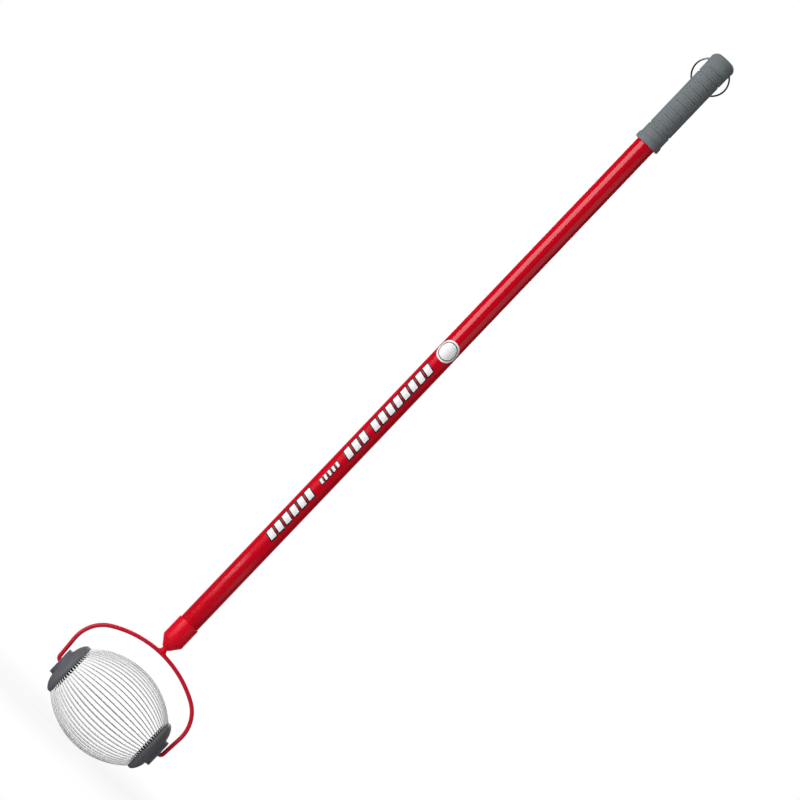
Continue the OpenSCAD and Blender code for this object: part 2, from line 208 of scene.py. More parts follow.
def arc(centre: Vector, radius: float, start: float, end: float, steps: int) -> list[Vector]:
    """Points on an arc in a plane.

    Args:
        centre: Middle of the arc.
        radius: Radius of the arc.
        start: Angle of the first point, in radians.
        end: Angle of the last point, in radians.
        steps: Number of stretches between the points.

    Returns:
        The points from start to end, both included.
    """
    angles = [start + (end - start) * step / steps for step in range(steps + 1)]
    return [centre + radius * Vector((math.cos(angle), math.sin(angle))) for angle in angles]


def rounded(corners: Sequence[Corner], steps: int = EDGE_STEPS) -> list[Vector]:
    """Rounds the corners of a closed outline.

    Args:
        corners: Corners in order, each with its own rounding.
        steps: Steps in a quarter turn of a rounding.

    Returns:
        The points of the rounded outline.
    """
    points: list[Vector] = []
    for index, corner in enumerate(corners):
        if corner.radius == 0:
            points.append(corner.point)
            continue
        back = (corners[index - 1].point - corner.point).normalized()
        ahead = (corners[(index + 1) % len(corners)].point - corner.point).normalized()
        half = back.angle(ahead) / 2
        centre = corner.point + (back + ahead).normalized() * corner.radius / math.sin(half)
        reach = corner.radius / math.tan(half)
        first = corner.point + back * reach - centre
        last = corner.point + ahead * reach - centre
        start = math.atan2(first.y, first.x)
        turn = math.remainder(math.atan2(last.y, last.x) - start, math.tau)
        count = max(LEAST_STEPS, round(steps * abs(turn) / QUARTER))
        points += arc(centre, corner.radius, start, start + turn, count)
    return points


def placed(name: str, data: bpy.types.ID) -> bpy.types.Object:
    """Puts a new object into the scene.

    Args:
        name: Name of the object.
        data: Its mesh, light or camera.

    Returns:
        The object.
    """
    made = bpy.data.objects.new(name, data)
    bpy.context.scene.collection.objects.link(made)
    return made


class Form:
    """A mesh in the making, in the frame of the part."""

    def __init__(self) -> None:
        """Starts an empty mesh, whose faces take the first finish."""
        self.mesh = bmesh.new()
        self.tint = 0

    def ring(self, points: Sequence[Vector]) -> list[bmesh.types.BMVert]:
        """Adds one vertex for each point and returns them in order."""
        return [self.mesh.verts.new(point) for point in points]

    def close(self, ring: Sequence[bmesh.types.BMVert]) -> None:
        """Fills a ring of vertices with one face."""
        self.mesh.faces.new(ring).material_index = self.tint

    def skin(self, lower: Sequence[bmesh.types.BMVert], upper: Sequence[bmesh.types.BMVert]) -> None:
        """Joins two rings of vertices with faces; either may be a single vertex.

        Args:
            lower: First ring.
            upper: Second ring, with as many vertices or one.
        """
        count = max(len(lower), len(upper))
        for index in range(count):
            following = (index + 1) % count
            corners = [
                lower[index % len(lower)],
                lower[following % len(lower)],
                upper[following % len(upper)],
                upper[index % len(upper)],
            ]
            corners = list(dict.fromkeys(corners))
            if len(corners) > 2:
                self.close(corners)

    def revolve(
        self,
        outline: Sequence[Vector],
        place: Matrix,
        sides: int = ROUND_SIDES,
        dent: Callable[[float, float], float] | None = None,
    ) -> None:
        """Turns a closed outline about the Z axis of its place.

        Args:
            outline: Points of distance from the axis and height along it.
            place: Where the axis lies.
            sides: Number of sides round the axis.
            dent: Depth pressed into the turned face at a height and an angle.
        """
        angles = spokes(sides)
        rings = []
        for out, along in outline:
            points = []
            for angle in angles if out > ON_AXIS else angles[:1]:
                radius = out - dent(along, angle) if dent else out
                points.append(place @ Vector((radius * math.cos(angle), radius * math.sin(angle), along)))
            rings.append(self.ring(points))
        for lower, upper in zip(rings, rings[1:] + rings[:1]):
            self.skin(lower, upper)

    def drill(self, radius: float, low: float, high: float, place: Matrix) -> None:
        """Adds a plain round bar along the Z axis of its place, to be cut away from another form."""
        outline = [Vector((0.0, low)), Vector((radius, low)), Vector((radius, high)), Vector((0.0, high))]
        self.revolve(outline, place, DRILL_SIDES)

    def sweep(
        self,
        path: Sequence[Vector],
        radii: Sequence[float],
        across: Vector,
        sides: int,
        loop: bool = False,
    ) -> None:
        """Draws a round bar along a path that lies in a plane.

        Args:
            path: Points on the middle of the bar.
            radii: Radius of the bar at each point.
            across: Unit normal of the plane.
            sides: Number of sides of the bar.
            loop: Whether the last point joins the first.
        """
        last = len(path) - 1
        rings = []
        for index, (point, radius) in enumerate(zip(path, radii)):
            before = path[index - 1] if loop or index > 0 else point
            after = path[(index + 1) % len(path)] if loop or index < last else point
            outward = across.cross(after - before).normalized()
            rings.append(
                self.ring([
                    point + radius * (math.cos(angle) * outward + math.sin(angle) * across)
                    for angle in spokes(sides)
                ])
            )
        for lower, upper in zip(rings, rings[1:] + rings[:1] if loop else rings[1:]):
            self.skin(lower, upper)
        if not loop:
            self.close(rings[0])
            self.close(rings[-1])

    def loft(self, sections: Sequence[Sequence[Vector]]) -> None:
        """Skins closed sections one after another and closes both ends.

        Args:
            sections: Outlines in order, with as many points each.
        """
        rings = [self.ring(section) for section in sections]
        for lower, upper in zip(rings, rings[1:]):
            self.skin(lower, upper)
        self.close(rings[0])
        self.close(rings[-1])

    def as_object(self, name: str) -> bpy.types.Object:
        """Turns the form into an object of the scene, with outward normals.

        Args:
            name: Name of the object.

        Returns:
            The object.
        """
        bmesh.ops.recalc_face_normals(self.mesh, faces=self.mesh.faces)
        data = bpy.data.meshes.new(name)
        self.mesh.to_mesh(data)
        return placed(name, data)

    def cut(self, tool: "Form") -> None:
        """Takes another closed form away from this one.

        Args:
            tool: The form to take away, which is used up.
        """
        kept = self.as_object("kept")
        taken = tool.as_object("taken")
        cutter = kept.modifiers.new("cut", "BOOLEAN")
        cutter.operation = "DIFFERENCE"
        cutter.solver = "EXACT"
        cutter.object = taken
        graph = bpy.context.evaluated_depsgraph_get()
        result = bpy.data.meshes.new_from_object(kept.evaluated_get(graph))
        self.mesh.clear()
        self.mesh.from_mesh(result)
        bpy.data.meshes.remove(result)
        for spent in (kept, taken):
            bpy.data.meshes.remove(spent.data)
        tool.mesh.free()

    def piece(
        self,
        name: str,
        body: Body,
        slot: Slot,
        finishes: Sequence["Finish"],
        replaces: Sequence[str] = (),
    ) -> None:
        """slot: The record's slot that its finish belongs to; not used.
            finishes: Finishes of its faces, by tint.
            replaces: Nodes of the frame that the piece stands for.
        """
        made = self.as_object(name)
        self.mesh.free()
        made.data.shade_smooth()
        made.data.set_sharp_from_angle(angle=SHARP_EDGE)
        for finish in finishes:
            made.data.materials.append(finish.material())
        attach(made, body.value)
        if replaces:
            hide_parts(*replaces)
        LOG.info("%s: %d faces, rides on %s", name, len(made.data.polygons), body.value)


def ring_drill(radius: float, reach: float) -> Form:
    """The drill across the handle for the hanging ring.

    Args:
        radius: Radius of the drill.
        reach: Distance from the handle's axis that it has to pass.

    Returns:
        The form of the drill.
    """
    far = reach + OVERRUN
    height = Matrix.Translation((0.0, 0.0, joint_place(Joint.SWING).z))
    form = Form()
    form.drill(radius, -far, far, height @ Matrix.Rotation(QUARTER, 4, "Y"))
    return form


class Field:
    """A number that varies over a surface; arithmetic on it adds Math nodes."""

    def __init__(self, sheet: "Sheet", socket: bpy.types.NodeSocket) -> None:
        """Wraps one output socket of a node sheet."""
        self.sheet = sheet
        self.socket = socket

    def _math(self, operation: str, first: Setting, second: Setting) -> "Field":
        """Adds one Math node and returns its result."""
        node = self.sheet.node("ShaderNodeMath", {"operation": operation}, {0: first, 1: second})
        return Field(self.sheet, node.outputs[0])

    def __add__(self, other: Setting) -> "Field":
        """Sum."""
        return self._math("ADD", self, other)

    __radd__ = __add__

    def __sub__(self, other: Setting) -> "Field":
        """Difference."""
        return self._math("SUBTRACT", self, other)

    def __rsub__(self, other: Setting) -> "Field":
        """Difference from a number."""
        return self._math("SUBTRACT", other, self)

    def __mul__(self, other: Setting) -> "Field":
        """Product."""
        return self._math("MULTIPLY", self, other)

    __rmul__ = __mul__

    def __or__(self, other: Setting) -> "Field":
        """The greater of two fields."""
        return self._math("MAXIMUM", self, other)

    __ror__ = __or__

    def swing(self, size: float) -> "Field":
        """A noise from zero to one as a swing about zero, of a size from end to end."""
        return size * (self - NOISE_MEAN)


@dataclass(frozen=True)
class Grain:
    """The grain of a noise: its size, and the number of finer layers in it."""

    size: float
    layers: float = 2.0


def opaque(colour: Colour) -> tuple[float, float, float, float]:
    """A colour as a socket takes it, without any see-through share."""
    return (*colour, 1.0)


class Sheet:
    """The node tree of one material or of the world."""

    def __init__(self, tree: bpy.types.NodeTree) -> None:
        """Takes over a tree and empties it."""
        self.tree = tree
        tree.nodes.clear()

    def node(
        self,
        kind: str,
        settings: Mapping[str, Setting] | None = None,
        inputs: Mapping[str | int, Setting] | None = None,
    ) -> bpy.types.Node:
        """Adds a node.

        Args:
            kind: Type of the node.
            settings: Its own settings, which are set first.
            inputs: Values, fields or sockets for its input sockets.

        Returns:
            The node.
        """
        made = self.tree.nodes.new(kind)
        for name, value in (settings or {}).items():
            setattr(made, name, value)
        for key, value in (inputs or {}).items():
            source = value.socket if isinstance(value, Field) else value
            if isinstance(source, bpy.types.NodeSocket):
                self.tree.links.new(source, made.inputs[key])
            else:
                made.inputs[key].default_value = source
        return made

    def vector(self, operation: str, *operands: Setting) -> bpy.types.Node:
        """Adds one Vector Math node on some vectors."""
        return self.node("ShaderNodeVectorMath", {"operation": operation}, dict(enumerate(operands)))

    def part(self, vector: bpy.types.NodeSocket, axis: str) -> bpy.types.NodeSocket:
        """One part of a vector: X, Y or Z."""
        return self.node("ShaderNodeSeparateXYZ", {}, {0: vector}).outputs[axis]

    def place(self, stretch: Colour = EVEN) -> bpy.types.NodeSocket:
        """Place on the piece, in metres, scaled along each axis."""
        spot = self.node("ShaderNodeTexCoord").outputs["Object"]
        return self.vector("MULTIPLY", spot, stretch).outputs[0]

    def ramp(self, value: Setting, low: float, high: float) -> Field:
        """Share that rises smoothly from zero to one.

        Args:
            value: The value that it follows.
            low: Where it is zero.
            high: Where it is one.

        Returns:
            The share as a field.
        """
        settings = {"interpolation_type": "SMOOTHSTEP"}
        inputs = {"Value": value, "From Min": low, "From Max": high}
        return Field(self, self.node("ShaderNodeMapRange", settings, inputs).outputs[0])

    def noise(self, grain: Grain, stretch: Colour = EVEN) -> Field:
        """Soft noise from zero to one.

        Args:
            grain: Its grain.
            stretch: Scale along each axis; less than one draws the grain out.

        Returns:
            The noise as a field.
        """
        inputs = {"Vector": self.place(stretch), "Scale": 1.0 / grain.size, "Detail": grain.layers}
        return Field(self, self.node("ShaderNodeTexNoise", {}, inputs).outputs[0])

    def cells(self, size: float) -> Field:
        """Flat patches of random tone from zero to one.

        Args:
            size: Size of a patch.

        Returns:
            The tone as a field.
        """
        inputs = {"Vector": self.place(), "Scale": 1.0 / size}
        colour = self.node("ShaderNodeTexVoronoi", {}, inputs).outputs["Color"]
        parts = self.node("ShaderNodeSeparateColor", {}, {"Color": colour})
        return Field(self, parts.outputs["Red"])

    def blend(
        self, share: Field, low: Colour | bpy.types.NodeSocket, high: Colour
    ) -> bpy.types.NodeSocket:
        """Colour that goes from one to another with a field.

        Args:
            share: The field, from zero to one.
            low: Colour at zero.
            high: Colour at one.

        Returns:
            The socket of the blended colour.
        """
        start = opaque(low) if isinstance(low, tuple) else low
        inputs = {"Factor": share, MIX_LOW: start, MIX_HIGH: opaque(high)}
        return self.node("ShaderNodeMix", {"data_type": "RGBA"}, inputs).outputs[MIX_RESULT]

    def bump(self, height: Field, depth: float) -> bpy.types.NodeSocket:
        """Surface normal that follows a height field of a depth in metres."""
        return self.node("ShaderNodeBump", {}, {"Height": height, "Distance": depth}).outputs[0]

    def seen(self, ray: Ray) -> Field:
        """One where a surface is met by a kind of ray, and zero elsewhere."""
        return Field(self, self.node("ShaderNodeLightPath").outputs[ray.value])

    def lit_by_eye(self, in_gloss: Field) -> Field:
        """Share of the white background: all of it from the camera or through glass, a share in gloss."""
        return self.seen(Ray.CAMERA) | self.seen(Ray.TRANSMISSION) | self.seen(Ray.GLOSSY) * in_gloss

    def mixed(self, share: Field, low: bpy.types.Node, high: bpy.types.Node) -> bpy.types.Node:
        """Shader that goes from low to high with a field."""
        return self.node("ShaderNodeMixShader", {}, {0: share, 1: low.outputs[0], 2: high.outputs[0]})


@dataclass(frozen=True)
class Finish:
    """A surface finish: name, main colour, roughness, and its darkest and lightest tone as factors."""

    name: str
    colour: Colour
    roughness: float
    dark: float = 1.0
    light: float = 1.0

    def material(self) -> bpy.types.Material:
        """The finish as a material, which is made once.

        Returns:
            The material.
        """
        found = bpy.data.materials.get(self.name)
        if found:
            return found
        made = bpy.data.materials.new(self.name)
        made.use_nodes = True
        sheet = Sheet(made.node_tree)
        sheet.node("ShaderNodeOutputMaterial", {}, {"Surface": self.surface(sheet).outputs[0]})
        return made

    def surface(self, sheet: Sheet) -> bpy.types.Node:
        """The surface shader."""
        return sheet.node("ShaderNodeBsdfPrincipled", {}, self.inputs(sheet))

    def toned(self, sheet: Sheet, share: Field) -> bpy.types.NodeSocket:
        """Main colour that goes from its darkest to its lightest tone with a field."""
        dark, light = (tuple(tone * part for part in self.colour) for tone in (self.dark, self.light))
        return sheet.blend(share, dark, light)

    def inputs(self, sheet: Sheet) -> dict[str, Setting]:
        """Inputs of the surface shader, by socket name."""
        raise NotImplementedError


@dataclass(frozen=True)
class GlossPaint(Finish):
    """Stoved gloss paint on steel, with a little orange peel and handling haze."""

    dark: float = 0.9
    light: float = 1.06
    gloss: float = 0.6
    gloss_tint: Colour = (1.0, 0.8, 0.8)
    cloud: Grain = Grain(0.12)
    haze: Grain = Grain(0.018, 5.0)
    haze_dulls: float = 0.14
    peel: Grain = Grain(0.0008, 1.0)
    peel_depth: float = 0.0000006

    def inputs(self, sheet: Sheet) -> dict[str, Setting]:
        """Inputs of the surface shader.

        Args:
            sheet: Sheet that the nodes go on.

        Returns:
            Values, fields and sockets, by socket name.
        """
        return {
            "Base Color": self.toned(sheet, sheet.noise(self.cloud)),
            "Roughness": self.roughness + sheet.noise(self.haze).swing(self.haze_dulls),
            "Specular IOR Level": self.gloss,
            "Specular Tint": opaque(self.gloss_tint),
            "Normal": sheet.bump(sheet.noise(self.peel), self.peel_depth),
        }


@dataclass(frozen=True)
class FilmedPaint(GlossPaint):
    """Gloss paint with a clear film over a length of the tube, which dulls it and fades at its ends."""

    film_low: float = 0.322
    film_high: float = 0.716
    film_fade: float = 0.045
    film_gloss: float = 0.12
    film_roughness: float = 0.3

    def surface(self, sheet: Sheet) -> bpy.types.Node:
        """Bare paint, and paint under the film.

        Args:
            sheet: Sheet that the nodes go on.

        Returns:
            The node that mixes both.
        """
        bare = super().surface(sheet)
        dulled = {"Specular IOR Level": self.film_gloss, "Roughness": self.film_roughness}
        covered = sheet.node("ShaderNodeBsdfPrincipled", {}, self.inputs(sheet) | dulled)
        height = sheet.part(sheet.place(), "Z")
        begun = sheet.ramp(height, self.film_low, self.film_low + self.film_fade)
        ended = sheet.ramp(height, self.film_high, self.film_high + self.film_fade)
        return sheet.mixed(begun - ended, bare, covered)


@dataclass(frozen=True)
class MatteRubber(Finish):
    """Soft moulded rubber with a fine grain and dull worn patches."""

    dark: float = 0.82
    light: float = 1.18
    gloss: float = 0.3
    grain: Grain = Grain(0.0006, 3.0)
    grain_depth: float = 0.00003
    grain_share: float = 0.3
    patch: Grain = Grain(0.02, 4.0)
    patch_dulls: float = 0.2

    def inputs(self, sheet: Sheet) -> dict[str, Setting]:
        """Inputs of the surface shader.

        Args:
            sheet: Sheet that the nodes go on.

        Returns:
            Values, fields and sockets, by socket name.
        """
        grain = sheet.noise(self.grain)
        patch = sheet.noise(self.patch)
        tone = (1 - self.grain_share) * patch + self.grain_share * grain
        return {
            "Base Color": self.toned(sheet, tone),
            "Roughness": self.roughness + patch.swing(self.patch_dulls),
            "Specular IOR Level": self.gloss,
            "Normal": sheet.bump(grain, self.grain_depth),
        }


@dataclass(frozen=True)
class MouldedPlastic(Finish):
    """Hard moulded plastic with a fine spark grain and faint flow clouds."""

    dark: float = 0.88
    light: float = 1.12
    gloss: float = 0.3
    grain: Grain = Grain(0.0005)
    grain_depth: float = 0.00002
    grain_dulls: float = 0.08
    cloud: Grain = Grain(0.012, 4.0)
    cloud_dulls: float = 0.16

    def inputs(self, sheet: Sheet) -> dict[str, Setting]:
        """Inputs of the surface shader.

        Args:
            sheet: Sheet that the nodes go on.

        Returns:
            Values, fields and sockets, by socket name.
        """
        grain = sheet.noise(self.grain)
        cloud = sheet.noise(self.cloud)
        return {
            "Base Color": self.toned(sheet, cloud),
            "Roughness": self.roughness + cloud.swing(self.cloud_dulls) + grain.swing(self.grain_dulls),
            "Specular IOR Level": self.gloss,
            "Normal": sheet.bump(grain, self.grain_depth),
        }


@dataclass(frozen=True)
class PlatedMetal(Finish):
    """Zinc or nickel on steel: patches of crystal, and drawing lines along one way."""

    dark: float = 0.86
    light: float = 1.06
    metal: float = 1.0
    crystal: float = 0.003
    crystal_dulls: float = 0.12
    drawn: Colour = EVEN
    line: Grain = Grain(0.0005, 3.0)
    line_depth: float = 0.000006
    line_share: float = 0.4
    line_dulls: float = 0.1

    def inputs(self, sheet: Sheet) -> dict[str, Setting]:
        """Inputs of the surface shader.

        Args:
            sheet: Sheet that the nodes go on.

        Returns:
            Values, fields and sockets, by socket name.
        """
        crystal = sheet.cells(self.crystal)
        lines = sheet.noise(self.line, self.drawn)
        tone = (1 - self.line_share) * crystal + self.line_share * lines
        return {
            "Base Color": self.toned(sheet, tone),
            "Metallic": self.metal,
            "Roughness": self.roughness + crystal.swing(self.crystal_dulls) + lines.swing(self.line_dulls),
            "Normal": sheet.bump(lines, self.line_depth),
        }


@dataclass(frozen=True)
class RolledWire(PlatedMetal):
    """Plated spring wire, with painted shade: a dark grey band along the outer face of each wire, where it
    bows out from the axle.
    """

    line_depth: float = 0.000001
    axle: Colour = (0.0, 0.0, 0.0)
    # Painted shade: colour of the dark band, and where it lies by distance from the axle and by facing
    worn_colour: Colour = (0.10, 0.10, 0.10)
    worn_from: float = 0.040
    worn_to: float = 0.046
    worn_edge: float = 0.62
    worn_core: float = 0.92

    def worn(self, sheet: Sheet) -> Field:
        """Share of painted shade on a wire, by its facing and its distance from the axle.

        Args:
            sheet: Sheet that the nodes go on.

        Returns:
            The share as a field.
        """
        offset = sheet.vector("SUBTRACT", sheet.place(), self.axle).outputs[0]
        outward = sheet.vector("MULTIPLY", offset, ROUND_AXLE).outputs[0]
        normal = sheet.node("ShaderNodeTexCoord").outputs["Normal"]
        facing = sheet.vector("DOT_PRODUCT", sheet.vector("NORMALIZE", outward).outputs[0], normal)
        away = sheet.vector("LENGTH", outward)
        bowed_out = sheet.ramp(away.outputs["Value"], self.worn_from, self.worn_to)
        return bowed_out * sheet.ramp(facing.outputs["Value"], self.worn_edge, self.worn_core)

    def inputs(self, sheet: Sheet) -> dict[str, Setting]:
        """Inputs of the surface shader.

        Args:
            sheet: Sheet that the nodes go on.

        Returns:
            Values, fields and sockets, by socket name.
        """
        inputs = super().inputs(sheet)
        # Painted shade: the base colour darkens to dark grey on the outer face of each bowed-out wire
        inputs["Base Color"] = sheet.blend(self.worn(sheet), inputs["Base Color"], self.worn_colour)
        return inputs


@dataclass(frozen=True)
class PrintedFilm(Finish):
    """Printed vinyl film, a little uneven in tone and sheen."""

    dark: float = 0.94
    light: float = 1.04
    gloss: float = 0.35
    mottle: Grain = Grain(0.004, 3.0)
    mottle_dulls: float = 0.15

    def inputs(self, sheet: Sheet) -> dict[str, Setting]:
        """Inputs of the surface shader.

        Args:
            sheet: Sheet that the nodes go on.

        Returns:
            Values, fields and sockets, by socket name.
        """
        mottle = sheet.noise(self.mottle)
        return {
            "Base Color": self.toned(sheet, mottle),
            "Roughness": self.roughness + mottle.swing(self.mottle_dulls),
            "Specular IOR Level": self.gloss,
        }


# Finishes of the tool
TUBE_PAINT = FilmedPaint("tube_red", (0.62, 0.0, 0.012), 0.14)
SOCKET_PAINT = GlossPaint("socket_red", (0.80, 0.0, 0.016), 0.3, gloss=0.26)
BAIL_PAINT = GlossPaint("bail_red", (0.66, 0.006, 0.030), 0.3, gloss=0.35)
GRIP_RUBBER = MatteRubber("grip_grey", (0.174, 0.194, 0.204), 0.72)
CAP_PLASTIC = MouldedPlastic("cap_grey", (0.125, 0.128, 0.145), 0.5)
COMB_PLASTIC = MouldedPlastic("comb_black", (0.008, 0.008, 0.009), 0.55, gloss=0.12)
PLATE_ZINC = PlatedMetal("plate_bright", (0.84, 0.91, 0.91), 0.34, metal=0.15, drawn=(1.0, 0.05, 1.0))
RIVET_ZINC = PlatedMetal("rivet_bright", (0.92, 0.93, 0.94), 0.24, metal=0.3)
# Painted reflection: the ring's steel colour is made dark to stand in for the dark surroundings that it
# mirrors
RING_STEEL = PlatedMetal("ring_dark_painted_reflection", (0.20, 0.205, 0.21), 0.24)
WHITE_FILM = PrintedFilm("white_film", (0.94, 0.94, 0.94), 0.4)
BLACK_FILM = PrintedFilm("black_film", (0.014, 0.014, 0.015), 0.4)
# Films of the print, in the order of the inks
PRINT = (WHITE_FILM, BLACK_FILM)


@dataclass(frozen=True)
class BarRow:
    """A row of slanted bars up the front of the tube: foot, number, pitch, and the size of a bar."""

    name: str
    low: float
    count: int
    pitch: float
    length: float
    reach: float
    keyline: float = 0.0019


@dataclass
class Handle:
    """Painted tube, with its printed bars and round sticker."""

    tube_wall: float = 0.0012
    lip_r: float = 0.0003
    hole_r: float = RING_HOLE_R
    film: float = 0.00006
    film_sunk: float = 0.00003
    slant: float = 0.22
    across_steps: int = 16
    rows: tuple[BarRow, ...] = (
        BarRow("low", 0.390, 6, 0.0150, 0.0136, 0.0174),
        BarRow("small", 0.4935, 5, 0.0078, 0.0068, 0.0098, 0.0013),
        BarRow("middle", 0.5435, 3, 0.0150, 0.0136, 0.0178),
        BarRow("top", 0.5965, 8, 0.0149, 0.0136, 0.0178),
    )
    print_across: float = -0.0034
    sticker_z: float = 0.745
    sticker_across: float = -0.0008
    sticker_r: float = 0.0165
    sticker_rings: int = 25
    inked_rings: tuple[int, ...] = (20, 21)
    tube_r: float = field(init=False)
    foot: float = field(init=False)
    top: float = field(init=False)

    def __post_init__(self) -> None:
        """Takes the tube's radius and ends from the frame."""
        low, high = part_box("handle_tube")
        self.tube_r, self.foot, self.top = high.x, low.z, high.z

    def build(self) -> None:
        """Makes the tube and what is printed on it."""
        self.tube()
        for row in self.rows:
            self.bars(row)
        self.sticker()

    def tube(self) -> None:
        """Makes the drawn tube, drilled across for the hanging ring."""
        inner = self.tube_r - self.tube_wall
        outline = rounded([
            Corner(self.tube_r, self.foot, self.lip_r),
            Corner(self.tube_r, self.top, self.lip_r),
            Corner(inner, self.top, self.lip_r),
            Corner(inner, self.foot, self.lip_r),
        ])
        form = Form()
        form.revolve(outline, HANDLE_AXIS, SMOOTH_SIDES)
        form.cut(ring_drill(self.hole_r, self.tube_r))
        form.piece("painted_tube", Body.HANDLE, Slot.HANDLE_PAINT, [TUBE_PAINT], ["handle_tube"])

    def on_tube(self, across: float, height: float, lift: float) -> Vector:
        """A point over the front of the tube.

        Args:
            across: Distance round the tube from the middle of its front.
            height: Height above the ground.
            lift: Height above the paint.

        Returns:
            The point.
        """
        angle = across / self.tube_r
        radius = self.tube_r + lift
        return Vector((radius * math.sin(angle), -radius * math.cos(angle), height))

    def bars(self, row: BarRow) -> None:
        """Makes one row of white bars, each on a black keyline.

        Args:
            row: The row.
        """
        form = Form()
        edge = row.keyline
        for index in range(row.count):
            low = row.low + index * row.pitch
            form.tint = Ink.BLACK.value
            self.bar(form, low, row.length, row.reach, self.film)
            form.tint = Ink.WHITE.value
            self.bar(form, low + edge, row.length - 2 * edge, row.reach - 2 * edge, 2 * self.film)
        form.piece(f"printed_bars_{row.name}", Body.HANDLE, Slot.HANDLE_PAINT, PRINT)

    def bar(self, form: Form, low: float, length: float, reach: float, lift: float) -> None:
        """Adds one slanted bar of film that follows the tube.

        Args:
            form: Mesh to add to.
            low: Height of its lower edge, at its middle.
            length: Length up the tube.
            reach: Width round the tube.
            lift: Height of its face above the paint.
        """
        sections = []
        for step in range(self.across_steps + 1):
            offset = reach * (step / self.across_steps - 0.5)
            across = self.print_across + offset
            foot = low - self.slant * offset
            sections.append([
                self.on_tube(across, foot, -self.film_sunk),
                self.on_tube(across, foot, lift),
                self.on_tube(across, foot + length, lift),
                self.on_tube(across, foot + length, -self.film_sunk),
            ])
        form.loft(sections)

    def sticker_ring(self, radius: float, lift: float) -> list[Vector]:
        """Points of a ring of the sticker.

        Args:
            radius: Radius of the ring; at zero it is one point.
            lift: Height above the paint.

        Returns:
            The points.
        """
        angles = spokes(ROUND_SIDES) if radius else [0.0]
        return [
            self.on_tube(
                self.sticker_across + radius * math.sin(angle),
                self.sticker_z + radius * math.cos(angle),
                lift,
            )
            for angle in angles
        ]

    def sticker(self) -> None:
        """Makes the round sticker, plain but for one thin ring near its edge."""
        form = Form()
        face = form.ring(self.sticker_ring(0.0, self.film))
        for index in range(1, self.sticker_rings + 1):
            wider = form.ring(self.sticker_ring(index / self.sticker_rings * self.sticker_r, self.film))
            ink = Ink.BLACK if index in self.inked_rings else Ink.WHITE
            form.tint = ink.value
            form.skin(face, wider)
            face = wider
        under = form.ring(self.sticker_ring(self.sticker_r, -self.film_sunk))
        form.skin(face, under)
        form.skin(under, form.ring(self.sticker_ring(0.0, -self.film_sunk)))
        form.piece("round_sticker", Body.HANDLE, Slot.HANDLE_PAINT, PRINT)


@dataclass(frozen=True)
class Groove:
    """A short groove across a panel of the grip: its height, half its width, and its depth."""

    height: float
    half: float
    depth: float


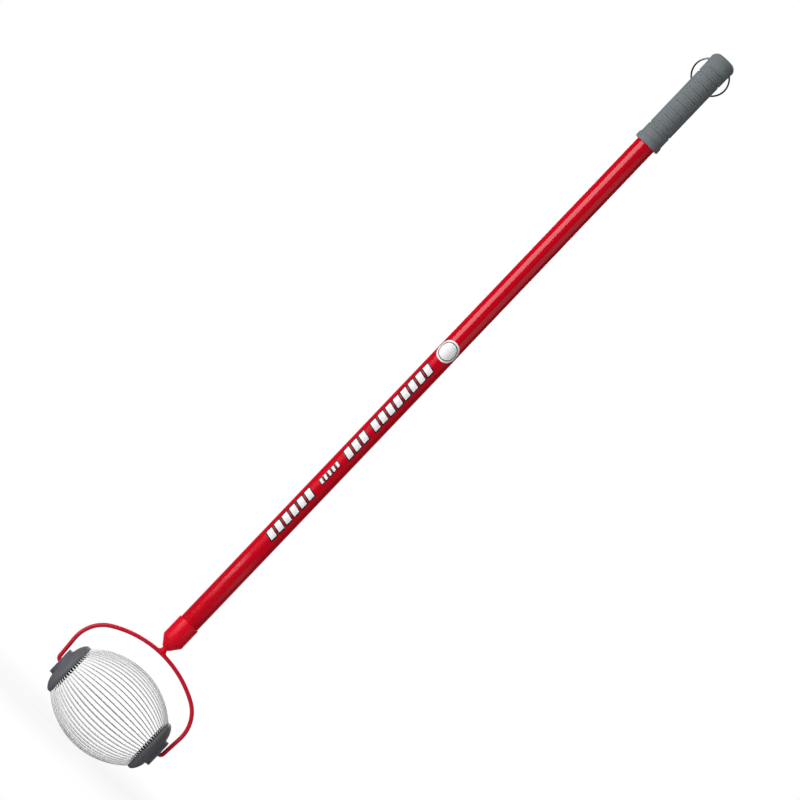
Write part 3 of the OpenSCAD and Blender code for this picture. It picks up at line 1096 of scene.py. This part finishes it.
@dataclass
class Grip:
    """Moulded rubber grip: collar, grooved panels front and back, two notches and a round head."""

    bore_r: float = TUBE_BORE_R
    hand_r: float = 0.0181
    collar_r: float = 0.0195
    collar_h: float = 0.008
    collar_slope: float = 0.003
    neck_r: float = 0.0186
    head_h: float = 0.016
    head_slope: float = 0.0025
    taper: float = 0.044
    end_round: float = 0.011
    end_t: float = 0.0045
    edge_round: float = 0.0009
    groove_count: int = 10
    groove_start: float = 0.0222
    groove_end: float = 0.0236
    groove_half: float = 0.001
    groove_depth: float = 0.0011
    groove_slope: float = 0.0003
    lines_between: int = 2
    line_half: float = 0.0006
    line_depth: float = 0.0004
    panel_half: float = math.radians(47)
    panel_fade: float = math.radians(7)
    notch_start: float = 0.0276
    notch_w: float = 0.0022
    notch_depth: float = 0.0011
    notch_round: float = 0.0005
    hole_r: float = RING_HOLE_R
    foot: float = field(init=False)
    top: float = field(init=False)
    head_r: float = field(init=False)
    notches: tuple[float, ...] = field(init=False)
    grooves: tuple[Groove, ...] = field(init=False)

    def __post_init__(self) -> None:
        """Takes the grip's ends and the radius of its head from the frame, and lays out its grooves."""
        low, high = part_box("grip")
        self.foot, self.top, self.head_r = low.z, high.z, high.x
        self.notches = (self.foot + self.notch_start, self.groove_z(self.groove_count - 2))
        self.grooves = tuple(self.lay_grooves())

    @property
    def neck(self) -> float:
        """Height at which the head starts to swell."""
        return self.top - self.head_h - self.head_slope

    def groove_z(self, place: float) -> float:
        """Height of a groove, or of a place between two grooves, counted from the lowest."""
        span = self.top - self.foot - self.groove_start - self.groove_end
        return self.foot + self.groove_start + place * span / (self.groove_count - 1)

    def lay_grooves(self) -> list[Groove]:
        """Lays out the grooves and the finer lines between them, but for those that a notch takes.

        Returns:
            The grooves and lines, from the lowest.
        """
        parts = self.lines_between + 1
        laid = []
        for index in range((self.groove_count - 1) * parts + 1):
            height = self.groove_z(index / parts)
            main = index % parts == 0
            half = self.groove_half if main else self.line_half
            depth = self.groove_depth if main else self.line_depth
            if all(abs(height - notch) > self.notch_w for notch in self.notches):
                laid.append(Groove(height, half, depth))
        return laid

    def radius(self, height: float) -> float:
        """Radius of the grip at a height between its collar and its head."""
        return self.hand_r + unit((height - self.neck) / self.taper + 1) * (self.neck_r - self.hand_r)

    def dent(self, height: float, angle: float) -> float:
        """Depth of the grooves at a place on the grip.

        Args:
            height: Height above the ground.
            angle: Angle round the grip.

        Returns:
            The depth.
        """
        nearest = min(self.grooves, key=lambda groove: abs(height - groove.height))
        rise = unit((nearest.half - abs(height - nearest.height)) / self.groove_slope)
        facing = abs(math.remainder(angle - QUARTER, math.pi))
        return nearest.depth * rise * unit((self.panel_half - facing) / self.panel_fade)

    def notch(self, height: float) -> list[Corner]:
        """Corners of a notch round the grip.

        Args:
            height: Height of its middle.

        Returns:
            The four corners, from its lower edge.
        """
        low, high = height - self.notch_w / 2, height + self.notch_w / 2
        floor = self.radius(height) - self.notch_depth
        return [
            Corner(self.radius(low), low, self.notch_round),
            Corner(floor, low, self.notch_round),
            Corner(floor, high, self.notch_round),
            Corner(self.radius(high), high, self.notch_round),
        ]

    def hand_corners(self) -> list[Corner]:
        """Corners up the hand hold: edges of the grooves, the notches, and the foot of the taper.

        Returns:
            The corners, from the lowest.
        """
        corners = [Corner(self.hand_r, self.neck - self.taper)]
        for notch in self.notches:
            corners += self.notch(notch)
        for groove in self.grooves:
            floor = groove.half - self.groove_slope
            heights = [groove.height + edge for edge in (-groove.half, -floor, floor, groove.half)]
            corners += [Corner(self.radius(height), height) for height in heights]
        return sorted(corners, key=lambda corner: corner.along)

    def build(self) -> None:
        """Makes the grip."""
        collar_top = self.foot + self.collar_h
        cavity_top = self.top - self.end_t
        corners = [
            Corner(self.bore_r, self.foot, self.edge_round / 2),
            Corner(self.collar_r, self.foot, self.edge_round),
            Corner(self.collar_r, collar_top, self.edge_round),
            Corner(self.hand_r, collar_top + self.collar_slope, self.edge_round),
            *self.hand_corners(),
            Corner(self.neck_r, self.neck, self.edge_round),
            Corner(self.head_r, self.top - self.head_h, self.edge_round),
            Corner(self.head_r, self.top, self.end_round),
            Corner(0.0, self.top),
            Corner(0.0, cavity_top),
            Corner(self.bore_r, cavity_top),
        ]
        form = Form()
        form.revolve(rounded(corners), HANDLE_AXIS, SMOOTH_SIDES, self.dent)
        form.cut(ring_drill(self.hole_r, self.head_r))
        form.piece("rubber_grip", Body.HANDLE, Slot.GRIP_RUBBER, [GRIP_RUBBER], ["grip"])


@dataclass
class Fork:
    """Coned socket, its weld, and the bent rod that carries the basket."""

    rod_r: float = 0.003
    rod_sides: int = 32
    crown_r: float = 0.150
    crown_angle: float = math.radians(30)
    crown_steps: int = 32
    arm_lean: float = math.radians(4)
    pin_bend_r: float = 0.005
    pin_bend_steps: int = 12
    pin_depth: float = 0.0154
    pin_chamfer: float = 0.0008
    bore_r: float = TUBE_BORE_R
    socket_rim_r: float = 0.0006
    cone_h: float = 0.014
    cone_end_r: float = 0.0059
    cone_top_round: float = 0.0025
    cone_end_round: float = 0.0008
    neck_h: float = 0.009
    neck_r: float = 0.0045
    foot_half: float = 0.0085
    foot_w: float = 0.0046
    foot_round: float = 0.2
    foot_steps: int = 8
    flare_steps: int = 10
    tube_stop: float = 0.002
    weld_r: float = 0.0013
    weld_reach: float = 0.0078
    weld_up: float = 0.6
    weld_aside: float = 0.75
    weld_end: float = 0.2
    weld_swell: float = 5.0
    weld_ripples: int = 9
    ripple_depth: float = 0.18
    weld_steps: int = 72
    weld_sides: int = 16
    bail_top: float = field(init=False)
    half_w: float = field(init=False)
    axle: Vector = field(init=False)
    rim: float = field(init=False)
    socket_r: float = field(init=False)
    boss_face: float = field(init=False)

    def __post_init__(self) -> None:
        """Takes the rod's height and width, the axle and the socket's rim from the frame."""
        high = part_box("bail")[1]
        self.bail_top, self.half_w = high.z - self.rod_r, high.x - self.rod_r
        self.axle = joint_place(Joint.SPIN)
        socket_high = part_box("socket")[1]
        self.rim, self.socket_r = socket_high.z, socket_high.x
        self.boss_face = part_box("right_cap")[1].x

    @property
    def crown_centre(self) -> Vector:
        """Middle of the crown's arc, in the plane of axle and handle."""
        return Vector((0.0, self.bail_top - self.crown_r))

    def build(self) -> None:
        """Makes the socket, the weld and the bail."""
        self.socket()
        self.weld()
        self.bail()

    def socket(self) -> None:
        """Makes the socket: straight sleeve, cone, neck and flared foot."""
        neck_top = self.bail_top + self.neck_h
        cone_top = neck_top + self.cone_h
        tube_foot = cone_top + self.tube_stop
        outline = rounded([
            Corner(0.0, self.bail_top),
            Corner(self.rod_r, self.bail_top),
            Corner(self.neck_r, self.bail_top + self.neck_r - self.rod_r, self.neck_r - self.rod_r),
            Corner(self.neck_r, neck_top, self.cone_end_round / 2),
            Corner(self.cone_end_r, neck_top, self.cone_end_round),
            Corner(self.socket_r, cone_top, self.cone_top_round),
            Corner(self.socket_r, self.rim, self.socket_rim_r),
            Corner(self.bore_r, self.rim, self.socket_rim_r / 2),
            Corner(self.bore_r, tube_foot),
            Corner(0.0, tube_foot),
        ])
        form = Form()
        form.revolve(outline, HANDLE_AXIS, SMOOTH_SIDES)
        self.foot(form)
        form.piece("coned_socket", Body.HANDLE, Slot.SOCKET_PAINT, [SOCKET_PAINT], ["socket"])

    def foot(self, form: Form) -> None:
        """Adds the foot that flares from the neck along the rod, with rounded sides.

        Args:
            form: Mesh to add to.
        """
        flare_r = self.foot_half - self.neck_r
        flare = Vector((self.foot_half, self.bail_top + self.rod_r + flare_r))
        right = arc(flare, flare_r, -QUARTER, -math.pi, self.flare_steps)
        low = [Vector((-self.foot_half, self.bail_top)), Vector((self.foot_half, self.bail_top))]
        outline = low + right + mirrored(right)
        middle = Vector((0.0, self.bail_top))
        sections = []
        for step in range(self.foot_steps + 1):
            angle = QUARTER * (2 * step / self.foot_steps - 1)
            size = 1 - self.foot_round + self.foot_round * math.cos(angle)
            depth = self.foot_w / 2 * math.sin(angle)
            sections.append([upright(middle + size * (point - middle), depth) for point in outline])
        form.loft(sections)

    def weld(self) -> None:
        """Makes the rippled weld beads in front of and behind the foot."""
        span = self.weld_reach / self.crown_r
        radius = self.crown_r + self.weld_up * self.rod_r
        bead = arc(self.crown_centre, radius, QUARTER + span, QUARTER - span, self.weld_steps)
        radii = []
        for step in range(self.weld_steps + 1):
            share = step / self.weld_steps
            ripple = abs(math.sin(math.pi * self.weld_ripples * share))
            swell = min(1.0, self.weld_swell * min(share, 1 - share) + self.weld_end)
            radii.append(self.weld_r * (1 - self.ripple_depth + self.ripple_depth * ripple) * swell)
        form = Form()
        for face in (-1, 1):
            depth = face * self.weld_aside * self.rod_r
            form.sweep([upright(point, depth) for point in bead], radii, BACKWARD, self.weld_sides)
        form.piece("foot_weld", Body.HANDLE, Slot.SOCKET_PAINT, [SOCKET_PAINT])

    def half_path(self) -> list[Vector]:
        """Middle of the right half of the rod, in the plane of axle and handle.

        Returns:
            Points from the pin's end to the top of the crown.
        """
        lean, crown = self.arm_lean, self.crown_angle
        corner_r = (self.half_w - self.crown_r * math.sin(crown)) / (1 - math.sin(crown))
        corner = Vector((
            self.half_w - corner_r,
            self.bail_top - self.crown_r + (self.crown_r - corner_r) * math.cos(crown),
        ))
        arm_top = corner + corner_r * Vector((math.cos(lean), -math.sin(lean)))
        bend_foot_z = self.axle.z + self.pin_bend_r * (1 - math.sin(lean))
        arm_foot_x = arm_top.x - (arm_top.y - bend_foot_z) * math.tan(lean)
        bend = Vector((arm_foot_x - self.pin_bend_r * math.cos(lean), self.axle.z + self.pin_bend_r))
        pin_end = self.boss_face - self.pin_depth
        return [
            Vector((pin_end, self.axle.z)),
            Vector((pin_end + self.pin_chamfer, self.axle.z)),
            *arc(bend, self.pin_bend_r, -QUARTER, -lean, self.pin_bend_steps),
            *arc(corner, corner_r, -lean, QUARTER - crown, self.crown_steps),
            *arc(self.crown_centre, self.crown_r, QUARTER - crown, QUARTER, self.crown_steps)[1:],
        ]

    def bail(self) -> None:
        """Makes the bail: one rod, bent to a crown and turned in as two axle pins."""
        right = self.half_path()
        path = [upright(point) for point in right + mirrored(right[:-1])]
        radii = [self.rod_r] * len(path)
        radii[0] = radii[-1] = self.rod_r - self.pin_chamfer
        form = Form()
        form.sweep(path, radii, BACKWARD, self.rod_sides)
        form.piece("bent_bail", Body.HANDLE, Slot.HANDLE_PAINT, [BAIL_PAINT], ["bail"])


@dataclass
class HangingRing:
    """Steel wire ring that swings in the hole across the grip."""

    wire_r: float = 0.00125
    hole_half: float = 0.01728
    steps: int = 96
    sides: int = 20

    def build(self) -> None:
        """Makes the ring, leaning on the back of the grip."""
        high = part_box("hang_ring")[1]
        hole = joint_place(Joint.SWING)
        ring_r = high.x - self.wire_r
        drop = math.sqrt(ring_r ** 2 - self.hole_half ** 2)
        lean = math.asin((high.y - self.wire_r) / (drop + ring_r))
        place = Matrix.Translation(hole) @ Matrix.Rotation(lean, 4, "X")
        circle = arc(Vector((0.0, -drop)), ring_r, 0.0, math.tau, self.steps)[:-1]
        path = [place @ upright(point) for point in circle]
        form = Form()
        form.sweep(path, [self.wire_r] * len(path), place.to_3x3() @ BACKWARD, self.sides, loop=True)
        form.piece("wire_ring", Body.RING, Slot.RING_STEEL, [RING_STEEL], ["hang_ring"])


@dataclass
class BasketEnd:
    """One end of the basket: domed cap, toothed comb, clamp plate and hollow rivets."""

    side: Side
    wire_count: int
    bore_r: float = 0.0033
    mouth_r: float = 0.0045
    mouth_h: float = 0.003
    boss_r: float = 0.02075
    boss_h: float = 0.006
    boss_round: float = 0.0014
    boss_fillet: float = 0.0016
    boss_rim_w: float = 0.0022
    boss_dish: float = 0.0006
    dish_round: float = 0.0003
    cap_wall: float = 0.0022
    cap_rim_h: float = 0.0019
    lip_over: float = 0.0002
    lip_round: float = 0.00015
    hub_r: float = 0.017
    dome_power: float = 2 / 1.5
    dome_steps: int = 24
    tooth_drop: float = 0.0016
    tooth_round: float = 0.0012
    tooth_edge: float = 0.00022
    tooth_root: float = 0.0003
    slot_w: float = 0.0021
    slot_depth: float = 0.0046
    seat_play: float = 0.00015
    plate_edge: float = 0.00025
    rivet_count: int = 3
    rivet_circle_r: float = 0.011
    rivet_r: float = 0.0025
    rivet_bore_r: float = 0.0018
    rivet_head_r: float = 0.004
    rivet_head_t: float = 0.0011
    rivet_head_edge: float = 0.0001375
    rivet_recess_r: float = 0.005
    rivet_recess_h: float = 0.0008
    rivet_roll_r: float = 0.00065
    rivet_roll_edge: float = 0.0001625
    place: Matrix = field(init=False)
    cap_r: float = field(init=False)
    boss_face: float = field(init=False)
    cap_rim: float = field(init=False)
    comb_r: float = field(init=False)
    tooth_top: float = field(init=False)
    comb_back: float = field(init=False)
    plate_r: float = field(init=False)
    plate_face: float = field(init=False)
    plate_seat: float = field(init=False)

    def __post_init__(self) -> None:
        """Takes the places along the axle and the radii of this end from the frame."""
        turn = Matrix.Rotation(self.side.value * QUARTER, 4, "Y")
        self.place = Matrix.Translation(joint_place(Joint.SPIN)) @ turn
        self.cap_rim, self.boss_face, self.cap_r = self.reach("cap")
        self.tooth_top, self.comb_back, self.comb_r = self.reach("comb")
        self.plate_face, self.plate_seat, self.plate_r = self.reach("plate")

    def reach(self, node: str) -> tuple[float, float, float]:
        """How far a node of this end reaches.

        Args:
            node: The node, without the name of the end.

        Returns:
            Its nearest and furthest place along the axle, and its radius.
        """
        low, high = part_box(f"{self.side.word}_{node}")
        near, far = sorted((abs(low.x), abs(high.x)))
        return near, far, (high.y - low.y) / 2

    @property
    def slot_floor(self) -> float:
        """Place of the floor of the comb slots along the axle."""
        return self.tooth_top + self.slot_depth

    @property
    def dish_floor(self) -> float:
        """Place of the floor of the boss along the axle."""
        return self.boss_face - self.boss_dish

    def build(self) -> None:
        """Makes the pieces of this end."""
        self.cap()
        self.comb()
        self.plate()
        self.rivets()

    def piece(self, form: Form, name: str, node: str, slot: Slot, finish: Finish) -> None:
        """Finishes a form as a piece of this end, in place of one of its nodes."""
        end = self.side.word
        form.piece(f"{end}_{name}", Body.BASKET, slot, [finish], [f"{end}_{node}"])

    def rivet_places(self) -> list[Matrix]:
        """Places of the rivets, with Z outwards along the axle."""
        offset = Matrix.Translation((self.rivet_circle_r, 0.0, 0.0))
        return [self.place @ Matrix.Rotation(turn, 4, "Z") @ offset for turn in spokes(self.rivet_count)]

    def rivet_drill(self, radius: float, low: float, high: float) -> Form:
        """Drills for all the rivets, as one form.

        Args:
            radius: Radius of a drill.
            low: Where it starts along the axle.
            high: Where it ends.

        Returns:
            The form of the drills.
        """
        form = Form()
        for place in self.rivet_places():
            form.drill(radius, low, high, place)
        return form

    def cut_rivet_holes(self, form: Form, low: float, high: float) -> None:
        """Cuts the holes of the rivets' shanks into a form, through the faces at both places."""
        form.cut(self.rivet_drill(self.rivet_r + self.seat_play, low - OVERRUN, high + OVERRUN))

    def dome(self, wall: float) -> list[Corner]:
        """Corners along the dome.

        Args:
            wall: How far they are drawn in from its outer face.

        Returns:
            The corners, from the crown to the rim.
        """
        inner = self.boss_r + self.boss_fillet
        spread = self.cap_r - wall - inner
        foot = self.cap_rim + self.cap_rim_h
        rise = self.boss_face - self.boss_h - wall - foot
        corners = []
        for step in range(1, self.dome_steps + 1):
            angle = QUARTER * step / self.dome_steps
            out = inner + spread * math.sin(angle) ** self.dome_power
            corners.append(Corner(out, foot + rise * max(math.cos(angle), 0.0) ** self.dome_power))
        return corners

    def cap(self) -> None:
        """Makes the domed cap with its dished boss and the thin lip that hides the comb's flange."""
        floor = self.dish_floor
        crown = self.boss_face - self.boss_h
        dish_r = self.boss_r - self.boss_rim_w
        lip_end = self.slot_floor - self.lip_over
        lip_r = self.comb_r + self.seat_play
        corners = [
            Corner(self.bore_r, self.comb_back),
            Corner(self.bore_r, floor - self.mouth_h, self.dish_round),
            Corner(self.mouth_r, floor, self.dish_round),
            Corner(dish_r - self.boss_dish, floor, self.dish_round),
            Corner(dish_r, self.boss_face, self.dish_round),
            Corner(self.boss_r, self.boss_face, self.boss_round),
            Corner(self.boss_r, crown, self.boss_fillet),
            *self.dome(0.0),
            Corner(self.cap_r, lip_end, self.lip_round),
            Corner(lip_r, lip_end, self.lip_round),
            Corner(lip_r, self.cap_rim),
            Corner(self.cap_r - self.cap_wall, self.cap_rim),
            *reversed(self.dome(self.cap_wall)),
            Corner(self.hub_r, crown - self.cap_wall),
            Corner(self.hub_r, self.comb_back),
        ]
        form = Form()
        form.revolve(rounded(corners), self.place, SMOOTH_SIDES)
        self.cut_rivet_holes(form, self.comb_back, floor)
        form.cut(self.rivet_drill(self.rivet_recess_r, floor - self.rivet_recess_h, floor + OVERRUN))
        self.piece(form, "dome", "cap", Slot.CAP_PLASTIC, CAP_PLASTIC)

    def tooth_outline(self, inset: float) -> list[Vector]:
        """Side view of a comb tooth.

        Args:
            inset: How far it is drawn in.

        Returns:
            The points of the outline.
        """
        inner = self.plate_r + self.seat_play
        root = self.slot_floor + self.tooth_root
        return rounded([
            Corner(inner + inset, root),
            Corner(inner + inset, self.tooth_top + self.tooth_drop + inset, self.tooth_round / 2),
            Corner(self.comb_r - inset, self.tooth_top + inset, self.tooth_round),
            Corner(self.comb_r - inset, root),
        ])

    def tooth(self, form: Form, angle: float) -> None:
        """Adds one comb tooth between two slots.

        Args:
            form: Mesh to add to.
            angle: Angle of the tooth round the axle.
        """
        half_pitch = math.pi / self.wire_count
        turned = self.place @ Matrix.Rotation(angle, 4, "Z")
        full, drawn_in = self.tooth_outline(0.0), self.tooth_outline(self.tooth_edge)
        sections = []
        for outline, hand, edge in (
            (drawn_in, -1, 0.0),
            (full, -1, self.tooth_edge),
            (full, 1, self.tooth_edge),
            (drawn_in, 1, 0.0),
        ):
            section = []
            for out, along in outline:
                half = out * math.tan(half_pitch) - self.slot_w / 2 / math.cos(half_pitch) - edge
                section.append(turned @ Vector((out, hand * half, along)))
            sections.append(section)
        form.loft(sections)

    def comb(self) -> None:
        """Makes the comb: a flanged disc with a tooth between every two wires."""
        land_r = self.plate_r - self.slot_w
        spigot_r = self.cap_r - self.cap_wall - self.seat_play
        outline = rounded([
            Corner(self.mouth_r, self.comb_back),
            Corner(self.mouth_r, self.plate_seat),
            Corner(land_r, self.plate_seat),
            Corner(land_r, self.slot_floor),
            Corner(self.comb_r, self.slot_floor, self.tooth_edge),
            Corner(self.comb_r, self.cap_rim, self.tooth_edge),
            Corner(spigot_r, self.cap_rim),
            Corner(spigot_r, self.comb_back),
        ])
        form = Form()
        form.revolve(outline, self.place, 2 * self.wire_count)
        self.cut_rivet_holes(form, self.plate_seat, self.comb_back)
        for angle in spokes(self.wire_count):
            self.tooth(form, angle)
        self.piece(form, "teeth", "comb", Slot.COMB_PLASTIC, COMB_PLASTIC)

    def plate(self) -> None:
        """Makes the round clamp plate."""
        outline = rounded([
            Corner(self.mouth_r, self.plate_face, self.plate_edge),
            Corner(self.plate_r, self.plate_face, self.plate_edge),
            Corner(self.plate_r, self.plate_seat, self.plate_edge),
            Corner(self.mouth_r, self.plate_seat, self.plate_edge),
        ])
        form = Form()
        form.revolve(outline, self.place)
        self.cut_rivet_holes(form, self.plate_face, self.plate_seat)
        self.piece(form, "disc", "plate", Slot.PLATE_ZINC, PLATE_ZINC)

    def rivets(self) -> None:
        """Makes the hollow rivets, each with a flat head outside and a rolled end inside."""
        head_foot = self.dish_floor - self.rivet_recess_h
        head_top = head_foot + self.rivet_head_t
        roll_top = self.plate_face - 2 * self.rivet_roll_r
        roll_out = self.rivet_r + 2 * self.rivet_roll_r
        outline = rounded([
            Corner(self.rivet_bore_r, roll_top, self.rivet_roll_r),
            Corner(self.rivet_bore_r, head_top, self.rivet_head_t / 2),
            Corner(self.rivet_head_r, head_top, self.rivet_head_t / 2),
            Corner(self.rivet_head_r, head_foot, self.rivet_head_edge),
            Corner(self.rivet_r, head_foot),
            Corner(self.rivet_r, self.plate_face),
            Corner(roll_out, self.plate_face, self.rivet_roll_edge),
            Corner(roll_out, roll_top, self.rivet_roll_r),
        ])
        form = Form()
        for place in self.rivet_places():
            form.revolve(outline, place, DRILL_SIDES)
        self.piece(form, "eyelets", "rivets", Slot.RIVET_ZINC, RIVET_ZINC)


@dataclass
class WireBarrel:
    """The bowed spring wires between the two combs."""

    count: int = 60
    groups: int = 10
    wire_r: float = 0.0008
    play: float = 0.0001
    bend_r: float = 0.004
    turn_in: float = 0.0025
    under_plate: float = 0.0022
    sides: int = 12
    bow_steps: int = 44
    bend_steps: int = 7
    uneven_bow: float = 0.0002
    uneven_turn: float = math.radians(0.24)
    seed: int = 12
    colour: Colour = (0.97, 0.975, 0.98)
    roughness: float = 0.36
    metal: float = 0.05
    crystal: float = 0.02
    drawn: Colour = (0.03, 1.0, 1.0)

    def finish(self, axle: Vector) -> RolledWire:
        """Finish of the wires.

        Args:
            axle: Place of the axle, which the painted shade is measured from.

        Returns:
            The finish.
        """
        return RolledWire(
            "wire_bright_painted_shade",
            self.colour,
            self.roughness,
            metal=self.metal,
            crystal=self.crystal,
            drawn=self.drawn,
            axle=tuple(axle),
        )

    def build(self) -> None:
        """Makes the wires, one piece for each group of neighbours."""
        chance = random.Random(self.seed)
        end = BasketEnd(Side.RIGHT, self.count)
        axle = joint_place(Joint.SPIN)
        finish = self.finish(axle)
        per_group = self.count // self.groups
        pitch = math.tau / self.count
        widest = max(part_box(f"wires_{group}")[1].y for group in range(1, self.groups + 1))
        middle_r = (widest - self.wire_r) / math.cos(pitch / 2)
        for group in range(self.groups):
            form = Form()
            for member in range(per_group):
                index = group * per_group + member
                angle = (index + 0.5) * pitch + chance.uniform(-self.uneven_turn, self.uneven_turn)
                bow_r = middle_r - chance.uniform(0.0, self.uneven_bow)
                turned = Matrix.Translation(axle) @ Matrix.Rotation(angle, 4, "X")
                path = [turned @ Vector((point.x, point.y, 0.0)) for point in self.path(end, bow_r)]
                across = turned.to_3x3() @ Vector((0.0, 0.0, 1.0))
                form.sweep(path, [self.wire_r] * len(path), across, self.sides)
            node = f"wires_{group + 1}"
            form.piece(f"bowed_{node}", Body.BASKET, Slot.WIRE_ZINC, [finish], [node])

    def path(self, end: BasketEnd, middle_r: float) -> list[Vector]:
        """Middle of one wire, along the axle and outwards from it.

        Args:
            end: The end that the wire is clamped in.
            middle_r: Distance of the wire from the axle, at its middle.

        Returns:
            Points from one clamped tail to the other.
        """
        tail = end.plate_seat + self.play + self.wire_r
        turn_r = end.comb_r - self.turn_in
        along = tail - self.bend_r
        drop = middle_r - turn_r - self.bend_r
        bow_r = (along ** 2 + drop ** 2) / (2 * drop) + self.bend_r
        bow = math.asin(along / (bow_r - self.bend_r))
        right = [
            Vector((tail, end.plate_r - self.under_plate)),
            *arc(Vector((along, turn_r)), self.bend_r, 0.0, QUARTER - bow, self.bend_steps),
        ]
        over = arc(Vector((0.0, middle_r - bow_r)), bow_r, QUARTER - bow, QUARTER + bow, self.bow_steps)
        return right + over[1:-1] + mirrored(right)


@dataclass(frozen=True)
class Lamp:
    """A soft box: where it stands, where it points, its width, its height and its power."""

    name: str
    spot: tuple[float, float, float]
    aim: tuple[float, float, float]
    width: float
    height: float
    power: float

    def build(self) -> None:
        """Makes the lamp, with its height upright."""
        data = bpy.data.lights.new(self.name, "AREA")
        data.shape = "RECTANGLE"
        data.size, data.size_y, data.energy = self.width, self.height, self.power
        made = placed(self.name, data)
        made.location = self.spot
        made.rotation_mode = "QUATERNION"
        made.rotation_quaternion = (Vector(self.aim) - Vector(self.spot)).to_track_quat("-Z", "Y")


@dataclass
class Studio:
    """White studio: floor, world, soft boxes and the camera."""

    eye: Vector = field(default_factory=lambda: Vector((-0.0024, -10.3, 0.6515)))
    picture_span: float = 1.1
    handle_slope: float = math.radians(46.35)
    sensor: float = 0.036
    floor_half: float = 6.0
    floor_drop: float = 0.0002
    floor_colour: Colour = (0.9, 0.9, 0.9)
    shadow_share: float = 0.15
    shadow_near: float = 0.1
    shadow_far: float = 0.6
    world_light: float = 0.15
    room_in_gloss: float = 0.04
    backdrop_edge: float = 0.65
    backdrop_full: float = 0.98
    backdrop_in_gloss: float = 0.5
    white_light: float = 1.0
    lamps: tuple[Lamp, ...] = (
        Lamp("key_box", (-1.52, -1.36, 0.95), (0.0, 0.0, 0.7), 1.7, 1.9, 38.0),
        Lamp("fill_box", (1.77, -0.94, 0.65), (0.0, 0.0, 0.65), 2.0, 1.5, 4.8),
        Lamp("top_box", (-0.4, 0.1, 2.9), (0.0, 0.0, 0.3), 1.4, 1.4, 14.0),
        Lamp("back_box", (0.2, 2.6, 1.5), (0.0, 0.0, 0.6), 1.6, 1.6, 26.0),
    )

    def build(self) -> None:
        """Makes the studio."""
        self.floor()
        self.world()
        for lamp in self.lamps:
            lamp.build()
        self.camera()

    def floor(self) -> None:
        """Makes the floor, white to the eye but for the shadow that falls on it."""
        half, height = self.floor_half, CAD_BOX[0].z - self.floor_drop
        corners = [(-half, -half), (half, -half), (half, half), (-half, half)]
        data = bpy.data.meshes.new("floor")
        data.from_pydata([(x, y, height) for x, y in corners], [], [(0, 1, 2, 3)])
        made = placed("floor", data)
        material = bpy.data.materials.new("pale_floor")
        material.use_nodes = True
        sheet = Sheet(material.node_tree)
        matt = sheet.node("ShaderNodeBsdfDiffuse", {}, {"Color": opaque(self.floor_colour)})
        dim = sheet.node("ShaderNodeEmission", {}, {"Strength": self.room_in_gloss})
        white = sheet.node("ShaderNodeEmission", {}, {"Strength": self.white_light})
        heading = sheet.vector("NORMALIZE", sheet.place()).outputs[0]
        share = self.white_share(sheet) * sheet.lit_by_eye(self.backdrop(sheet, heading))
        plain = sheet.mixed(sheet.seen(Ray.GLOSSY), matt, dim)
        mixed = sheet.mixed(share, plain, white)
        sheet.node("ShaderNodeOutputMaterial", {}, {"Surface": mixed.outputs[0]})
        data.materials.append(material)

    def white_share(self, sheet: Sheet) -> Field:
        """Share of plain white in the floor: all of it further off, where no shadow falls.

        Args:
            sheet: Sheet that the nodes go on.

        Returns:
            The share as a field.
        """
        away = sheet.vector("LENGTH", sheet.place()).outputs["Value"]
        clear = sheet.ramp(away, self.shadow_near, self.shadow_far)
        return 1 - self.shadow_share + self.shadow_share * clear

    def backdrop(self, sheet: Sheet, heading: bpy.types.NodeSocket) -> Field:
        """Share of white backdrop that gloss sees, by the heading from the tool."""
        back = sheet.ramp(sheet.part(heading, "Y"), self.backdrop_edge, self.backdrop_full)
        return self.backdrop_in_gloss * back

    def world(self) -> None:
        """Makes the world: soft light, white to the eye; in gloss a dim room and the backdrop behind."""
        world = bpy.data.worlds.new("studio")
        bpy.context.scene.world = world
        world.use_nodes = True
        sheet = Sheet(world.node_tree)
        soft, dim, white = (
            sheet.node("ShaderNodeBackground", {}, {"Color": opaque(WHITE), "Strength": strength})
            for strength in (self.world_light, self.room_in_gloss, self.white_light)
        )
        heading = sheet.node("ShaderNodeTexCoord").outputs["Generated"]
        room = sheet.mixed(sheet.seen(Ray.GLOSSY), soft, dim)
        mixed = sheet.mixed(sheet.lit_by_eye(self.backdrop(sheet, heading)), room, white)
        sheet.node("ShaderNodeOutputWorld", {}, {"Surface": mixed.outputs[0]})

    def camera(self) -> None:
        """Makes the camera, level with the tool and rolled so that the handle leans to the right."""
        data = bpy.data.cameras.new("camera")
        data.sensor_width = MM_PER_M * self.sensor
        data.lens = MM_PER_M * self.sensor * -self.eye.y / self.picture_span
        made = placed("camera", data)
        level = Matrix.Rotation(QUARTER, 4, "X")
        roll = Matrix.Rotation(QUARTER - self.handle_slope, 4, "Z")
        made.matrix_world = Matrix.Translation(self.eye) @ level @ roll
        bpy.context.scene.camera = made


def write_sizes() -> None:
    """Brings the view layer up to date."""
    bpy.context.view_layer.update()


def main() -> None:
    """Builds the studio and every sub-assembly of the tool."""
    logging.basicConfig(level=logging.INFO, format="%(name)s: %(message)s")
    bpy.context.scene.view_settings.view_transform = "Standard"
    wires = WireBarrel()
    assemblies = [
        Studio(),
        Handle(),
        Grip(),
        Fork(),
        HangingRing(),
        BasketEnd(Side.LEFT, wires.count),
        BasketEnd(Side.RIGHT, wires.count),
        wires,
    ]
    for assembly in assemblies:
        assembly.build()
        LOG.info("built %s", type(assembly).__name__)
    write_sizes()


if __name__ == "__main__":
    main()
